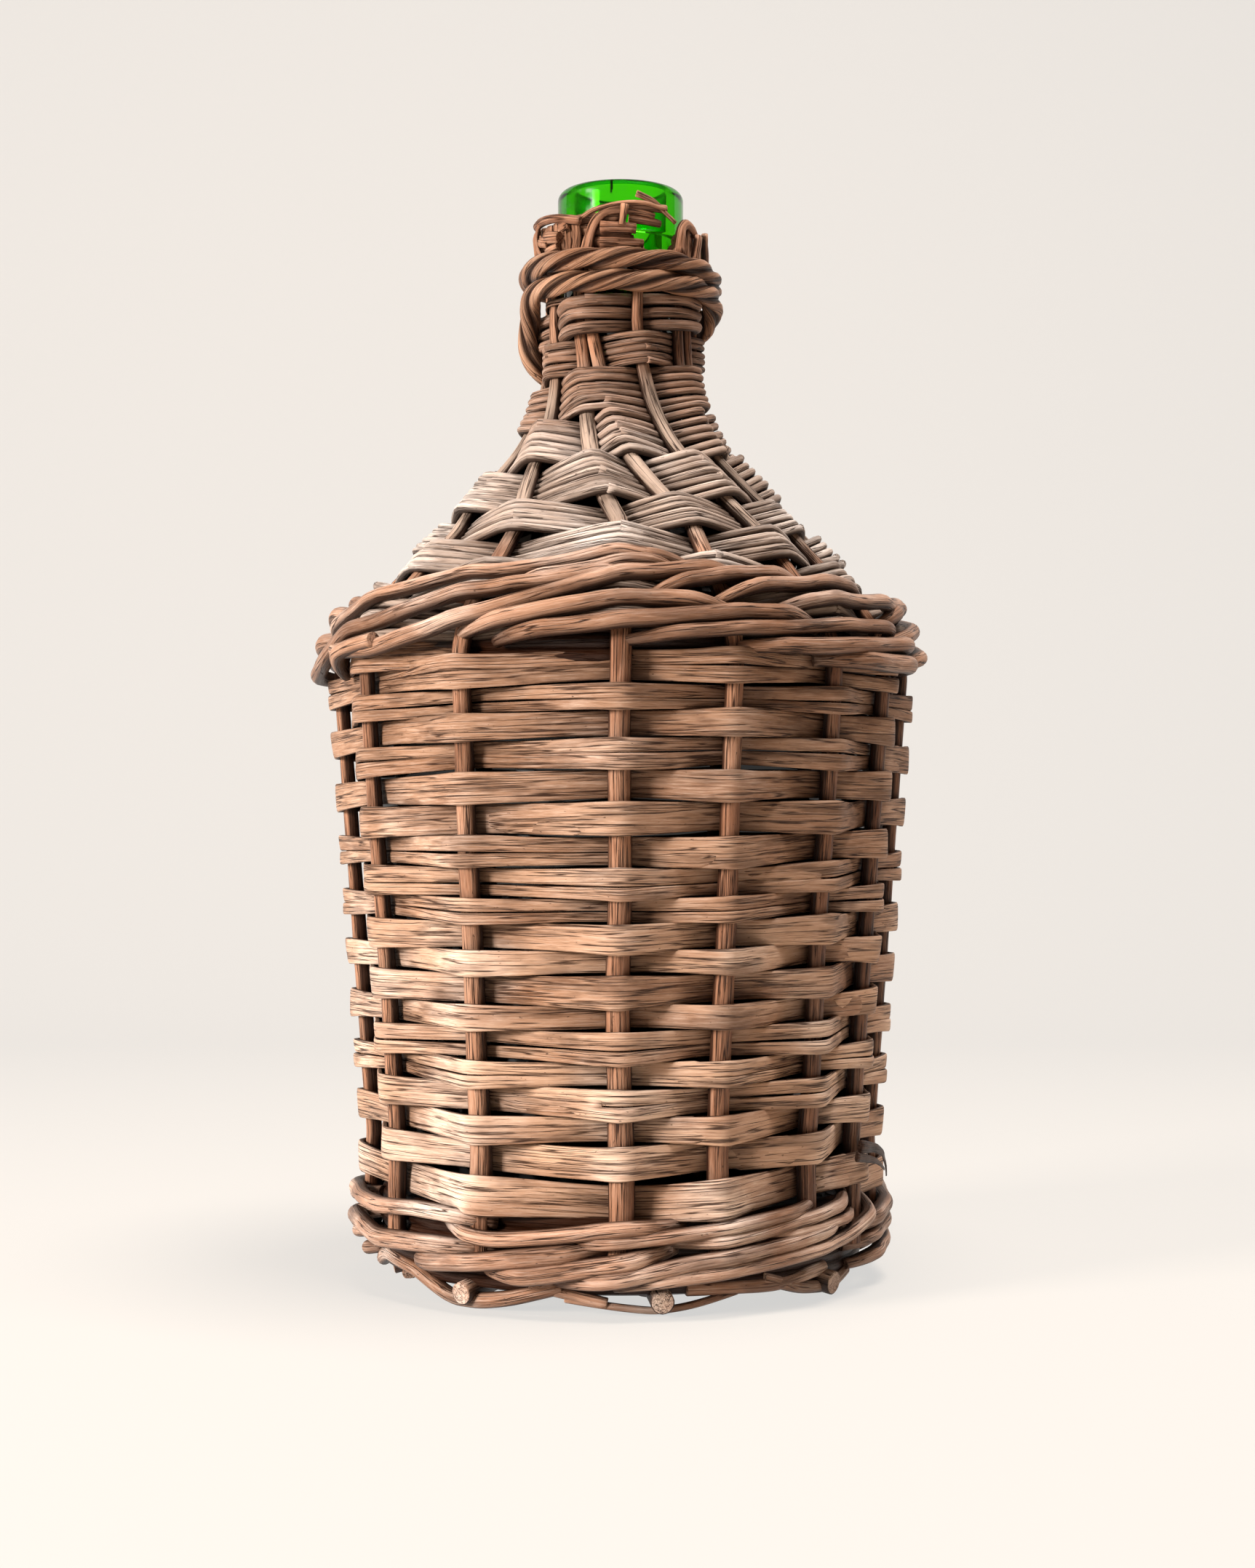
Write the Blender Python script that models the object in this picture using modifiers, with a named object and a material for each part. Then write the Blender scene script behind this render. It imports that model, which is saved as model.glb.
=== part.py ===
"""Wicker demijohn: a green glass bottle in a casing woven from willow rods and split strips.

The glass is turned from one outline. The stakes of the casing follow a second outline, set off
from the glass by the room that the weavers need, and every weaver is led round the stakes along
that second outline. Azimuth 0 is the front (-Y), and it grows towards +X.
"""

import math

import bmesh
import bpy
from mathutils import Vector

MM = 0.001
CLEARANCE = 0.3 * MM
WELD_DISTANCE = 0.01 * MM

# Glass bottle. Heights are above the floor of the glass unless they say otherwise.
GLASS_HEIGHT = 355.0 * MM
GLASS_WALL = 4.0 * MM
FLOOR_THICKNESS = 6.0 * MM
BODY_RADIUS_LOW = 76.4 * MM
BODY_RADIUS_HIGH = 90.8 * MM
SHOULDER_HEIGHT = 193.0 * MM
SHOULDER_SLOPE = math.radians(42.5)
NECK_RADIUS = 19.3 * MM
LIP_RADIUS = 21.6 * MM
LIP_HEIGHT = 18.0 * MM
LIP_ROUNDING = 2.0 * MM
HEEL_FILLET = 34.0 * MM
SHOULDER_FILLET = 70.0 * MM
NECK_FILLET = 45.0 * MM
PUNT_RADIUS = 42.0 * MM
PUNT_HEIGHT = 18.0 * MM
PUNT_FILLET = 9.0 * MM
GLASS_SIDES = 28
GLASS_ARC_STEPS = 3

# Base of the casing.
BASE_STICK_DIAMETER = 7.6 * MM
BASE_STICK_OVERHANG = 3.0 * MM
BASE_STICK_AZIMUTH = math.radians(9.0)
BASE_STICK_ENDS = 8
BASE_FAN_RADIUS = 30.0 * MM
BASE_WEAVER_DIAMETER = 3.2 * MM
BASE_WEAVE_INNER = 34.0 * MM
BASE_WEAVE_INSET = 13.5 * MM
FOOT_ROD_DIAMETER = 5.0 * MM
FOOT_FLAT_DEPTH = 0.5 * MM
FOOT_INSET = 12.4 * MM
FOOT_BULGE = 4.5 * MM

# Stakes. On the body they stand unevenly, as they were pushed in, and on the neck evenly.
STAKE_DEGREES = (0.0, 21.5, 45.0, 64.0, 82.0, 105.0, 128.0, 152.0,
                 176.0, 200.0, 224.0, 249.0, 273.0, 301.0, 329.0)
STAKE_COUNT = len(STAKE_DEGREES)
STAKE_TWIST = math.radians(-24.0)
STAKE_TWIST_RISE = 84.0 * MM
STAKE_TWIST_STEPS = 5
STAKE_FOOT_DIAMETER = 5.5 * MM
STAKE_TIP_DIAMETER = 3.4 * MM
STAKE_BEND = 30.0 * MM
HEEL_SLACK = 2.6 * MM
STAKE_FLARE_HEIGHT = 33.0 * MM
STAKE_FLARE_FILLET = 20.0 * MM
STAKE_NECK_FILLET = 60.0 * MM
STAKE_NECK_SLACK = 0.6 * MM
STAKE_ARC_STEPS = 16
STAKE_PATH_TOLERANCE = 0.18 * MM
FOLD_REACH = 1.3
FOLD_RISE = 7.0 * MM
FOLD_STEPS = 3
FOLD_OUT_SHARE = 0.7

# Wales: bands of three rods, twined round the stakes.
WALE_RODS = 3
BOTTOM_WALE_BANDS = 2
BOTTOM_WALE_DIAMETER = 5.8 * MM
BOTTOM_WALE_RISE = 5.4 * MM
SHOULDER_WALE_DIAMETER = 7.5 * MM
SHOULDER_WALE_RISE = 7.0 * MM
WALE_STACK = 0.65
WALE_GAP = 1.2 * MM

# Weave of the body: one flat strip that climbs round the stakes.
STRIP_THICKNESS = 2.0 * MM
STRIP_ROWS = 19
STRIP_GAP = 0.5 * MM

# Weave of the shoulder and neck: rods side by side, which cross the stakes as one band.
BAND_RODS = 4
BAND_ROD_LOW_DIAMETER = 4.1 * MM
BAND_ROD_HIGH_DIAMETER = 2.4 * MM
BAND_ROD_GAP = 0.5 * MM
BAND_BELOW_ROPE = 10.8 * MM

# Ropes round the neck.
ROPE_DIAMETER = 7.3 * MM
ROPE_BELOW_MOUTH = 32.2 * MM
ROPE_TILT = 2.5 * MM
ROPE_WAVE = 1.2 * MM
ROPE_DROP_LEFT = 18.0 * MM
ROPE_DROP_RIGHT = 6.0 * MM
ROPE_HALF_SPAN = math.radians(84.0)
ROPE_OUT_SHARE = 0.42
ROPE_FALL_SHARE = 0.3
ROPE_RING_POINTS = 26
ROPE_SPAN_STEPS = 12

STEP = 2 * math.pi / STAKE_COUNT
STAKE_AZIMUTHS = [math.radians(degrees) for degrees in STAKE_DEGREES]
SPANS = [after - before for before, after in
         zip(STAKE_AZIMUTHS, STAKE_AZIMUTHS[1:] + [STAKE_AZIMUTHS[0] + 2 * math.pi])]


class Outline:
    """A line of straight runs and fillets in the plane of radius and height."""

    def __init__(self, corners, fillets, arc_steps):
        points = [Vector(corners[0])]
        for index, fillet in enumerate(fillets, start=1):
            corner = Vector(corners[index])
            back = (Vector(corners[index - 1]) - corner).normalized()
            ahead = (Vector(corners[index + 1]) - corner).normalized()
            half_turn = (math.pi - back.angle(ahead)) / 2
            centre = corner + (back + ahead).normalized() * fillet / math.cos(half_turn)
            first = corner + back * fillet * math.tan(half_turn) - centre
            last = corner + ahead * fillet * math.tan(half_turn) - centre
            for step in range(arc_steps + 1):
                share = step / arc_steps
                swing = (2 * share - 1) * half_turn
                middle = (first + last).normalized()
                side = (last - first).normalized()
                spoke = middle * math.cos(swing) + side * math.sin(swing)
                points.append(centre + spoke * fillet)
        points.append(Vector(corners[-1]))
        self.points = points
        self.lengths = [0.0]
        for before, after in zip(points, points[1:]):
            self.lengths.append(self.lengths[-1] + (after - before).length)
        self.headings = []
        for index in range(len(points)):
            before = points[max(index - 1, 0)]
            after = points[min(index + 1, len(points) - 1)]
            into = (points[index] - before).normalized()
            out = (after - points[index]).normalized()
            self.headings.append((into + out).normalized())

    def at(self, length):
        """Point, direction and outward normal at a length from the start."""
        last = len(self.points) - 2
        index = 0
        while index < last and self.lengths[index + 1] < length:
            index += 1
        share = (length - self.lengths[index]) / (self.lengths[index + 1] - self.lengths[index])
        point = self.points[index].lerp(self.points[index + 1], share)
        along = self.headings[index].lerp(self.headings[index + 1], share).normalized()
        return point, along, Vector((along.y, -along.x))

    def sparse_lengths(self, tolerance):
        """The lengths of the fewest points that keep a straight-sided copy within a tolerance."""
        kept = [0]
        for index in range(2, len(self.points)):
            start = self.points[kept[-1]]
            chord = (self.points[index] - start).normalized()
            strays = [abs(chord.cross(point - start)) for point in self.points[kept[-1] + 1:index]]
            if max(strays) > tolerance:
                kept.append(index - 1)
        return [self.lengths[index] for index in kept + [len(self.points) - 1]]

    def length_at(self, height):
        """Length at which a rising outline first reaches a height."""
        for index in range(len(self.points) - 1):
            low, high = self.points[index].y, self.points[index + 1].y
            if low <= height <= high and high > low:
                share = (height - low) / (high - low)
                return self.lengths[index] + share * (self.lengths[index + 1] - self.lengths[index])
        return self.lengths[-1]

    def radius_at(self, height):
        return self.at(self.length_at(height))[0].x


def polar(radius, azimuth, height):
    """A place at a radius from the axis and an azimuth from the front."""
    return Vector((radius * math.sin(azimuth), -radius * math.cos(azimuth), height))


def crossing(point_a, slope_a, point_b, slope_b):
    """Where two lines meet, each a point and its change of radius for a unit of height."""
    height = (point_b[0] - point_a[0] + slope_a * point_a[1] - slope_b * point_b[1]) / (slope_a - slope_b)
    return point_a[0] + slope_a * (height - point_a[1]), height


def wale_height(diameter):
    """Height of one band of three twined rods."""
    return 2 * WALE_STACK * diameter + diameter


def room_inside(glass_radius, stake_radius, weaver_radius, spans):
    """Distance from the glass to the middle of a stake that leaves room for a weaver between.

    A weaver leaves a stake outwards over a short span and dips inwards over a long one.
    """
    clear = stake_radius + CLEARANCE + weaver_radius
    rooms = []
    for span in spans:
        spacing = 2 * (glass_radius + clear) * math.sin(span / 2)
        slant = math.asin(2 * clear / spacing) - span / 2
        gap = (glass_radius + CLEARANCE) / math.cos(min(slant, 0.0)) - glass_radius
        rooms.append(gap + (clear + weaver_radius) / math.cos(slant))
    return max(rooms)


# Heights that the base sets: the weavers lie on the sticks, and the glass stands on the weavers.
STICK_RADIUS = BASE_STICK_DIAMETER / 2
FOOT_ROD_RADIUS = FOOT_ROD_DIAMETER / 2
FOOT_ROD_HEIGHT = FOOT_ROD_RADIUS - FOOT_FLAT_DEPTH
STICK_HEIGHT = FOOT_ROD_HEIGHT + FOOT_ROD_RADIUS + CLEARANCE + STICK_RADIUS
GLASS_BASE = STICK_HEIGHT + STICK_RADIUS + BASE_WEAVER_DIAMETER + 3 * CLEARANCE
GLASS_TOP = GLASS_BASE + GLASS_HEIGHT

BODY_TAPER = (BODY_RADIUS_HIGH - BODY_RADIUS_LOW) / SHOULDER_HEIGHT
SHOULDER_TAPER = -math.tan(SHOULDER_SLOPE)
SHOULDER_CORNER = (BODY_RADIUS_HIGH, GLASS_BASE + SHOULDER_HEIGHT)
BOTTOM_WALE_CENTRE = GLASS_BASE + BOTTOM_WALE_RISE
BOTTOM_WALE_HEIGHT = BOTTOM_WALE_BANDS * (wale_height(BOTTOM_WALE_DIAMETER) + CLEARANCE) - CLEARANCE
SHOULDER_WALE_CENTRE = SHOULDER_CORNER[1] + SHOULDER_WALE_RISE
ROPE_HEIGHT = GLASS_TOP - ROPE_BELOW_MOUTH
BAND_TOP = ROPE_HEIGHT - BAND_BELOW_ROPE
NECK_CORNER = (NECK_RADIUS, SHOULDER_CORNER[1] + (NECK_RADIUS - BODY_RADIUS_HIGH) / SHOULDER_TAPER)

glass_outline = Outline(
    [(PUNT_RADIUS, GLASS_BASE), (BODY_RADIUS_LOW, GLASS_BASE), SHOULDER_CORNER, NECK_CORNER,
     (NECK_RADIUS, GLASS_TOP - LIP_HEIGHT)],
    [HEEL_FILLET, SHOULDER_FILLET, NECK_FILLET], GLASS_ARC_STEPS)


def make_stake_line():
    """The line that every stake follows, from the foot up to the fold of the border."""
    foot_radius = STAKE_FOOT_DIAMETER / 2
    tip_radius = STAKE_TIP_DIAMETER / 2
    highest_band = BOTTOM_WALE_CENTRE + (BOTTOM_WALE_HEIGHT - wale_height(BOTTOM_WALE_DIAMETER)) / 2
    inside = highest_band + BOTTOM_WALE_DIAMETER / 2
    wale_room = HEEL_SLACK + BOTTOM_WALE_DIAMETER + 2 * CLEARANCE + foot_radius
    foot = (glass_outline.radius_at(inside) + wale_room,
            BOTTOM_WALE_CENTRE - BOTTOM_WALE_HEIGHT / 2)
    wale_top = (foot[0], BOTTOM_WALE_CENTRE + BOTTOM_WALE_HEIGHT / 2)
    strip_room = room_inside(BODY_RADIUS_LOW, foot_radius, STRIP_THICKNESS / 2, SPANS)
    cone = (BODY_RADIUS_LOW + strip_room / math.cos(math.atan(BODY_TAPER)), GLASS_BASE)
    cone_start = (cone[0] + BODY_TAPER * STAKE_FLARE_HEIGHT, cone[1] + STAKE_FLARE_HEIGHT)
    band_room = room_inside(BODY_RADIUS_HIGH, foot_radius, BAND_ROD_LOW_DIAMETER / 2, SPANS)
    neck_room = room_inside(NECK_RADIUS, tip_radius, BAND_ROD_HIGH_DIAMETER / 2, [STEP])
    bend_room = neck_room + STAKE_NECK_SLACK
    slope_low = (BODY_RADIUS_HIGH + band_room / math.cos(SHOULDER_SLOPE), SHOULDER_CORNER[1])
    slope_high = (BODY_RADIUS_HIGH + bend_room / math.cos(SHOULDER_SLOPE), SHOULDER_CORNER[1])
    shoulder = crossing(cone, BODY_TAPER, slope_low, SHOULDER_TAPER)
    neck = crossing(slope_high, SHOULDER_TAPER, (NECK_RADIUS + neck_room, 0.0), 0.0)
    top = (neck[0], ROPE_HEIGHT + ROPE_TILT + ROPE_DIAMETER / 2 + CLEARANCE + tip_radius)
    return Outline([foot, wale_top, cone_start, shoulder, neck, top],
                   [STAKE_FLARE_FILLET, STAKE_FLARE_FILLET, STAKE_BEND, STAKE_NECK_FILLET],
                   STAKE_ARC_STEPS)


stake_line = make_stake_line()
FOOT_RADIUS = stake_line.points[0].x - FOOT_INSET
TWIST_START = stake_line.length_at(SHOULDER_WALE_CENTRE + wale_height(SHOULDER_WALE_DIAMETER) / 2)


def stake_radius(length):
    """A stake tapers evenly from its foot to its tip."""
    share = length / stake_line.lengths[-1]
    return (STAKE_FOOT_DIAMETER + (STAKE_TIP_DIAMETER - STAKE_FOOT_DIAMETER) * share) / 2


def stake_azimuth(stake, length):
    """Where a stake stands. Above the shoulder wale it leans over to its even place on the neck."""
    lap, place = divmod(stake, STAKE_COUNT)
    share = min(max((length - TWIST_START) / STAKE_TWIST_RISE, 0.0), 1.0)
    eased = share * share * (3 - 2 * share)
    uneven = STAKE_AZIMUTHS[place]
    even = STEP * place + STAKE_TWIST
    return 2 * math.pi * lap + uneven + (even - uneven) * eased


def weave_offsets(stake, length, half_thickness):
    """Distances from the stake line to a weaver's middle, in front of and behind a stake."""
    point, _, outward = stake_line.at(length)
    clear = stake_radius(length) + CLEARANCE + half_thickness
    azimuths = [stake_azimuth(stake + side, length) for side in (-1, 0, 1)]
    front = []
    behind = []
    for span in (azimuths[1] - azimuths[0], azimuths[2] - azimuths[1]):
        slant = math.asin(2 * clear / (2 * point.x * math.sin(span / 2)))
        turn = span / 2 * outward.x
        front.append(clear / math.cos(slant + turn))
        behind.append(clear / math.cos(slant - turn))
    return max(front), -max(behind)


def casing_point(length, azimuth, offset):
    """A place on the casing, at an offset square to the stake line."""
    point, _, outward = stake_line.at(length)
    place = point + outward * offset
    return polar(place.x, azimuth, place.y)


def make_collection(name):
    collection = bpy.data.collections.new(name)
    bpy.context.scene.collection.children.link(collection)
    return collection


def make_material(name, colour, roughness, transmission=0.0):
    material = bpy.data.materials.new(name)
    material.use_nodes = True
    shader = material.node_tree.nodes["Principled BSDF"]
    shader.inputs["Base Color"].default_value = (*colour, 1.0)
    shader.inputs["Roughness"].default_value = roughness
    shader.inputs["Metallic"].default_value = 0.0
    shader.inputs["Transmission Weight"].default_value = transmission
    return material


def make_rod(name, points, radii, material, resolution=1, cyclic=False):
    """A round rod through the points, with a radius at each."""
    curve = bpy.data.curves.new(name, "CURVE")
    curve.dimensions = "3D"
    curve.bevel_depth = max(radii)
    curve.bevel_resolution = resolution
    curve.use_fill_caps = not cyclic
    spline = curve.splines.new("POLY")
    spline.points.add(len(points) - 1)
    spline.use_cyclic_u = cyclic
    for spline_point, point, radius in zip(spline.points, points, radii):
        spline_point.co = (*point, 1.0)
        spline_point.radius = radius / max(radii)
    curve.materials.append(material)
    rod = bpy.data.objects.new(name, curve)
    parts.objects.link(rod)
    return rod


def make_bottle(material):
    """The glass, turned from its outer and inner outlines."""
    inner_corners = [
        (0.0, GLASS_BASE + PUNT_HEIGHT + FLOOR_THICKNESS),
        (PUNT_RADIUS - PUNT_HEIGHT, GLASS_BASE + PUNT_HEIGHT + FLOOR_THICKNESS),
        (PUNT_RADIUS, GLASS_BASE + FLOOR_THICKNESS),
        (BODY_RADIUS_LOW - GLASS_WALL, GLASS_BASE + FLOOR_THICKNESS),
        (SHOULDER_CORNER[0] - GLASS_WALL, SHOULDER_CORNER[1]),
        (NECK_CORNER[0] - GLASS_WALL, NECK_CORNER[1]),
        (NECK_RADIUS - GLASS_WALL, GLASS_TOP - LIP_ROUNDING),
        (NECK_RADIUS - GLASS_WALL + LIP_ROUNDING, GLASS_TOP),
    ]
    inner = Outline(inner_corners[:7],
                    [PUNT_FILLET, PUNT_FILLET, HEEL_FILLET - FLOOR_THICKNESS,
                     SHOULDER_FILLET - GLASS_WALL, NECK_FILLET + GLASS_WALL],
                    GLASS_ARC_STEPS - 1)
    lip = [
        (NECK_RADIUS - GLASS_WALL + LIP_ROUNDING, GLASS_TOP),
        (LIP_RADIUS - LIP_ROUNDING, GLASS_TOP),
        (LIP_RADIUS, GLASS_TOP - LIP_ROUNDING),
        (LIP_RADIUS, GLASS_TOP - LIP_HEIGHT + LIP_ROUNDING),
        (LIP_RADIUS - LIP_ROUNDING / 2, GLASS_TOP - LIP_HEIGHT),
    ]
    underside = Outline(
        [(PUNT_RADIUS + PUNT_FILLET, GLASS_BASE), (PUNT_RADIUS, GLASS_BASE),
         (PUNT_RADIUS - PUNT_HEIGHT, GLASS_BASE + PUNT_HEIGHT), (0.0, GLASS_BASE + PUNT_HEIGHT)],
        [PUNT_FILLET, PUNT_FILLET], GLASS_ARC_STEPS - 1)
    profile = [tuple(point) for point in inner.points]
    profile += lip
    profile += [tuple(point) for point in reversed(glass_outline.points[1:])]
    profile += [tuple(point) for point in underside.points[1:]]
    mesh = bpy.data.meshes.new("glass_bottle")
    outline = bmesh.new()
    corners = [outline.verts.new((radius, 0.0, height)) for radius, height in profile]
    for before, after in zip(corners, corners[1:]):
        outline.edges.new((before, after))
    outline.to_mesh(mesh)
    outline.free()
    mesh.materials.append(material)
    bottle = bpy.data.objects.new("glass_bottle", mesh)
    parts.objects.link(bottle)
    screw = bottle.modifiers.new("Turn", "SCREW")
    screw.steps = GLASS_SIDES
    screw.render_steps = GLASS_SIDES
    screw.use_merge_vertices = True
    screw.merge_threshold = WELD_DISTANCE
    screw.use_smooth_shade = True
    return bottle


def make_base_sticks(material):
    """Two pairs of crossed sticks. Outside the crossing they fan out to eight even ends."""
    fan = math.pi / BASE_STICK_ENDS
    beside = STICK_RADIUS + CLEARANCE
    lift = BASE_STICK_DIAMETER + CLEARANCE
    straight = 2 * beside + STICK_RADIUS
    for pair in range(2):
        axis = BASE_STICK_AZIMUTH - fan + pair * math.pi / 2
        raised = STICK_HEIGHT + pair * lift
        for side in (-1, 1):
            points = []
            for end in (-1, 1):
                heading = axis if end > 0 else axis + math.pi
                spread = heading + side * end * fan
                across = polar(1.0, axis + math.pi / 2, 0.0) * side * beside
                near = across + polar(straight, heading, raised)
                far = [polar(BASE_FAN_RADIUS, spread, STICK_HEIGHT),
                       polar(FOOT_RADIUS + BASE_STICK_OVERHANG, spread, STICK_HEIGHT)]
                run = [near] + far
                points = points + run if end > 0 else run[::-1]
            name = f"base_stick_{2 * pair + (side + 3) // 2}"
            make_rod(name, points, [STICK_RADIUS] * len(points), material, resolution=3)


def make_base_weavers(material):
    """Two rods that chase each other outwards, over one stick end and under the next."""
    radius = BASE_WEAVER_DIAMETER / 2
    step = 2 * math.pi / BASE_STICK_ENDS
    pitch = 2 * (BASE_WEAVER_DIAMETER + 2 * CLEARANCE)
    clear = STICK_RADIUS + CLEARANCE + radius
    outer = FOOT_RADIUS - BASE_WEAVE_INSET
    crossings = round((outer - BASE_WEAVE_INNER) / pitch * BASE_STICK_ENDS)
    for weaver in range(2):
        points = []
        for index in range(crossings):
            from_axis = BASE_WEAVE_INNER + pitch * (index / BASE_STICK_ENDS + weaver / 2)
            slant = math.asin(2 * clear / (2 * from_axis * math.sin(step / 2)))
            side = 1 if (index + weaver) % 2 else -1
            rise = side * clear / math.cos(slant)
            azimuth = BASE_STICK_AZIMUTH + step * index
            points.append(polar(from_axis, azimuth, STICK_HEIGHT + rise))
        make_rod(f"base_weaver_{weaver + 1}", points, [radius] * crossings, material, resolution=0)


def make_foot_border(material):
    """A bent rod that dips under each stick end and rises between them to the bottom wale."""
    high = stake_line.points[0].y - CLEARANCE - FOOT_ROD_RADIUS
    step = 2 * math.pi / BASE_STICK_ENDS
    dip = math.asin((STICK_RADIUS + FOOT_ROD_RADIUS) / FOOT_RADIUS)
    points = []
    for index in range(BASE_STICK_ENDS):
        azimuth = BASE_STICK_AZIMUTH + step * index
        points.append(polar(FOOT_RADIUS, azimuth - dip / 2, FOOT_ROD_HEIGHT))
        points.append(polar(FOOT_RADIUS, azimuth + dip / 2, FOOT_ROD_HEIGHT))
        points.append(polar(FOOT_RADIUS + FOOT_BULGE, azimuth + step / 2 - dip / 2, high))
        points.append(polar(FOOT_RADIUS + FOOT_BULGE, azimuth + step / 2 + dip / 2, high))
    curve = make_rod("foot_border", points, [FOOT_ROD_RADIUS] * len(points), material, cyclic=True)
    border = mesh_from_curve(curve)
    floor = make_floor_cutter()
    cut = border.modifiers.new("Flat foot", "BOOLEAN")
    cut.operation = "DIFFERENCE"
    cut.solver = "EXACT"
    cut.object = floor


def mesh_from_curve(curve):
    """The same piece as a mesh, which can be cut."""
    name = curve.name
    evaluated = curve.evaluated_get(bpy.context.evaluated_depsgraph_get())
    mesh = bpy.data.meshes.new_from_object(evaluated)
    welded = bmesh.new()
    welded.from_mesh(mesh)
    bmesh.ops.remove_doubles(welded, verts=welded.verts, dist=WELD_DISTANCE)
    welded.to_mesh(mesh)
    welded.free()
    piece = bpy.data.objects.new(name, mesh)
    piece.matrix_world = curve.matrix_world
    bpy.data.objects.remove(curve)
    piece.name = name
    parts.objects.link(piece)
    return piece


def make_floor_cutter():
    """A block under the floor that cuts the foot flat."""
    size = 2 * (FOOT_RADIUS + FOOT_BULGE + FOOT_ROD_DIAMETER)
    mesh = bpy.data.meshes.new("floor_cutter")
    block = bmesh.new()
    bmesh.ops.create_cube(block, size=size)
    bmesh.ops.translate(block, verts=block.verts, vec=(0, 0, -size / 2))
    block.to_mesh(mesh)
    block.free()
    floor = bpy.data.objects.new("floor_cutter", mesh)
    floor.hide_render = True
    floor.display_type = "WIRE"
    cutters.objects.link(floor)
    return floor


def make_wale(name, first_number, centre, diameter, material):
    """A band of three rods, each in front of two stakes and behind the third.

    In front a rod climbs. Then it goes in over the other two and comes out under them.
    """
    rise = WALE_STACK * diameter
    pass_by = (diameter + WALE_GAP) / 2 - rise / 2
    levels = (-rise, rise, 0.0)
    lifts = (0.0, pass_by, -pass_by)
    for rod in range(WALE_RODS):
        crossings = []
        first = STAKE_COUNT // 2 + 1 - rod
        for stake in range(first, first + STAKE_COUNT + 1):
            place = (stake + rod) % WALE_RODS
            length = centre + levels[place]
            front, behind = weave_offsets(stake, length, diameter / 2)
            azimuth = stake_azimuth(stake, length)
            crossings.append(casing_point(length, azimuth, (front, front, behind)[place]))
        points = [crossings[0]]
        for index in range(STAKE_COUNT):
            lift = lifts[(first + index + rod) % WALE_RODS]
            azimuth = stake_azimuth(first + index, centre)
            climb = casing_point(centre + lift, azimuth, 0.0) - casing_point(centre, azimuth, 0.0)
            points.append((crossings[index] + crossings[index + 1]) / 2 + climb)
            points.append(crossings[index + 1])
        cut = diameter / 2 / (points[1] - points[0]).length
        points[0] = points[0].lerp(points[1], cut)
        points[-1] = points[-1].lerp(points[-2], cut)
        make_rod(f"{name}_{first_number + rod}", points, [diameter / 2] * len(points), material)


def make_stakes(material):
    """Fifteen stakes up the stake line, each folded over in front of the next one."""
    lengths = stake_line.sparse_lengths(STAKE_PATH_TOLERANCE)
    lengths += [TWIST_START + STAKE_TWIST_RISE * step / STAKE_TWIST_STEPS
                for step in range(STAKE_TWIST_STEPS + 1)]
    lengths.sort()
    tip = STAKE_TIP_DIAMETER / 2
    over = 2 * tip + 3 * CLEARANCE
    top_point = stake_line.points[-1]
    for stake in range(STAKE_COUNT):
        points = [casing_point(length, stake_azimuth(stake, length), 0.0) for length in lengths]
        radii = [stake_radius(length) for length in lengths]
        azimuth = stake_azimuth(stake, lengths[-1])
        for step in range(1, FOLD_STEPS + 1):
            share = step / FOLD_STEPS
            out = over * min(1.0, share / FOLD_OUT_SHARE) ** 2
            height = top_point.y + FOLD_RISE * math.sin(math.pi * share)
            points.append(polar(top_point.x + out, azimuth + STEP * FOLD_REACH * share, height))
            radii.append(tip)
        make_rod(f"stake_{stake + 1:02d}", points, radii, material)


def make_body_weaver(start, end, material):
    """One flat strip that climbs from the bottom wale to the shoulder wale."""
    pitch = (end - start) / (STRIP_ROWS + 1)
    width = pitch - STRIP_GAP
    section = bpy.data.curves.new("strip_section", "CURVE")
    section.dimensions = "2D"
    edge = section.splines.new("POLY")
    edge.points.add(3)
    edge.use_cyclic_u = True
    for corner, (x, y) in zip(edge.points, ((-1, -1), (-1, 1), (1, 1), (1, -1))):
        corner.co = (x * STRIP_THICKNESS / 2, y * width / 2, 0.0, 1.0)
    guide = bpy.data.objects.new("strip_section", section)
    guide.hide_render = True
    guide.display_type = "WIRE"
    cutters.objects.link(guide)
    points = []
    leans = []
    first = STAKE_COUNT // 2 + 1
    for index in range(STRIP_ROWS * STAKE_COUNT + 1):
        length = start + pitch * (0.5 + index / STAKE_COUNT)
        front, behind = weave_offsets(first + index, length, STRIP_THICKNESS / 2)
        azimuth = stake_azimuth(first + index, length)
        points.append(casing_point(length, azimuth, behind if index % 2 else front))
        _, along, _ = stake_line.at(length)
        leans.append(math.atan2(along.x, along.y))
    strip = make_rod("body_weaver", points, [1.0] * len(points), material)
    strip.data.twist_mode = "Z_UP"
    for spline_point, lean in zip(strip.data.splines[0].points, leans):
        spline_point.tilt = lean
    strip.data.bevel_mode = "OBJECT"
    strip.data.bevel_object = guide


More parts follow.
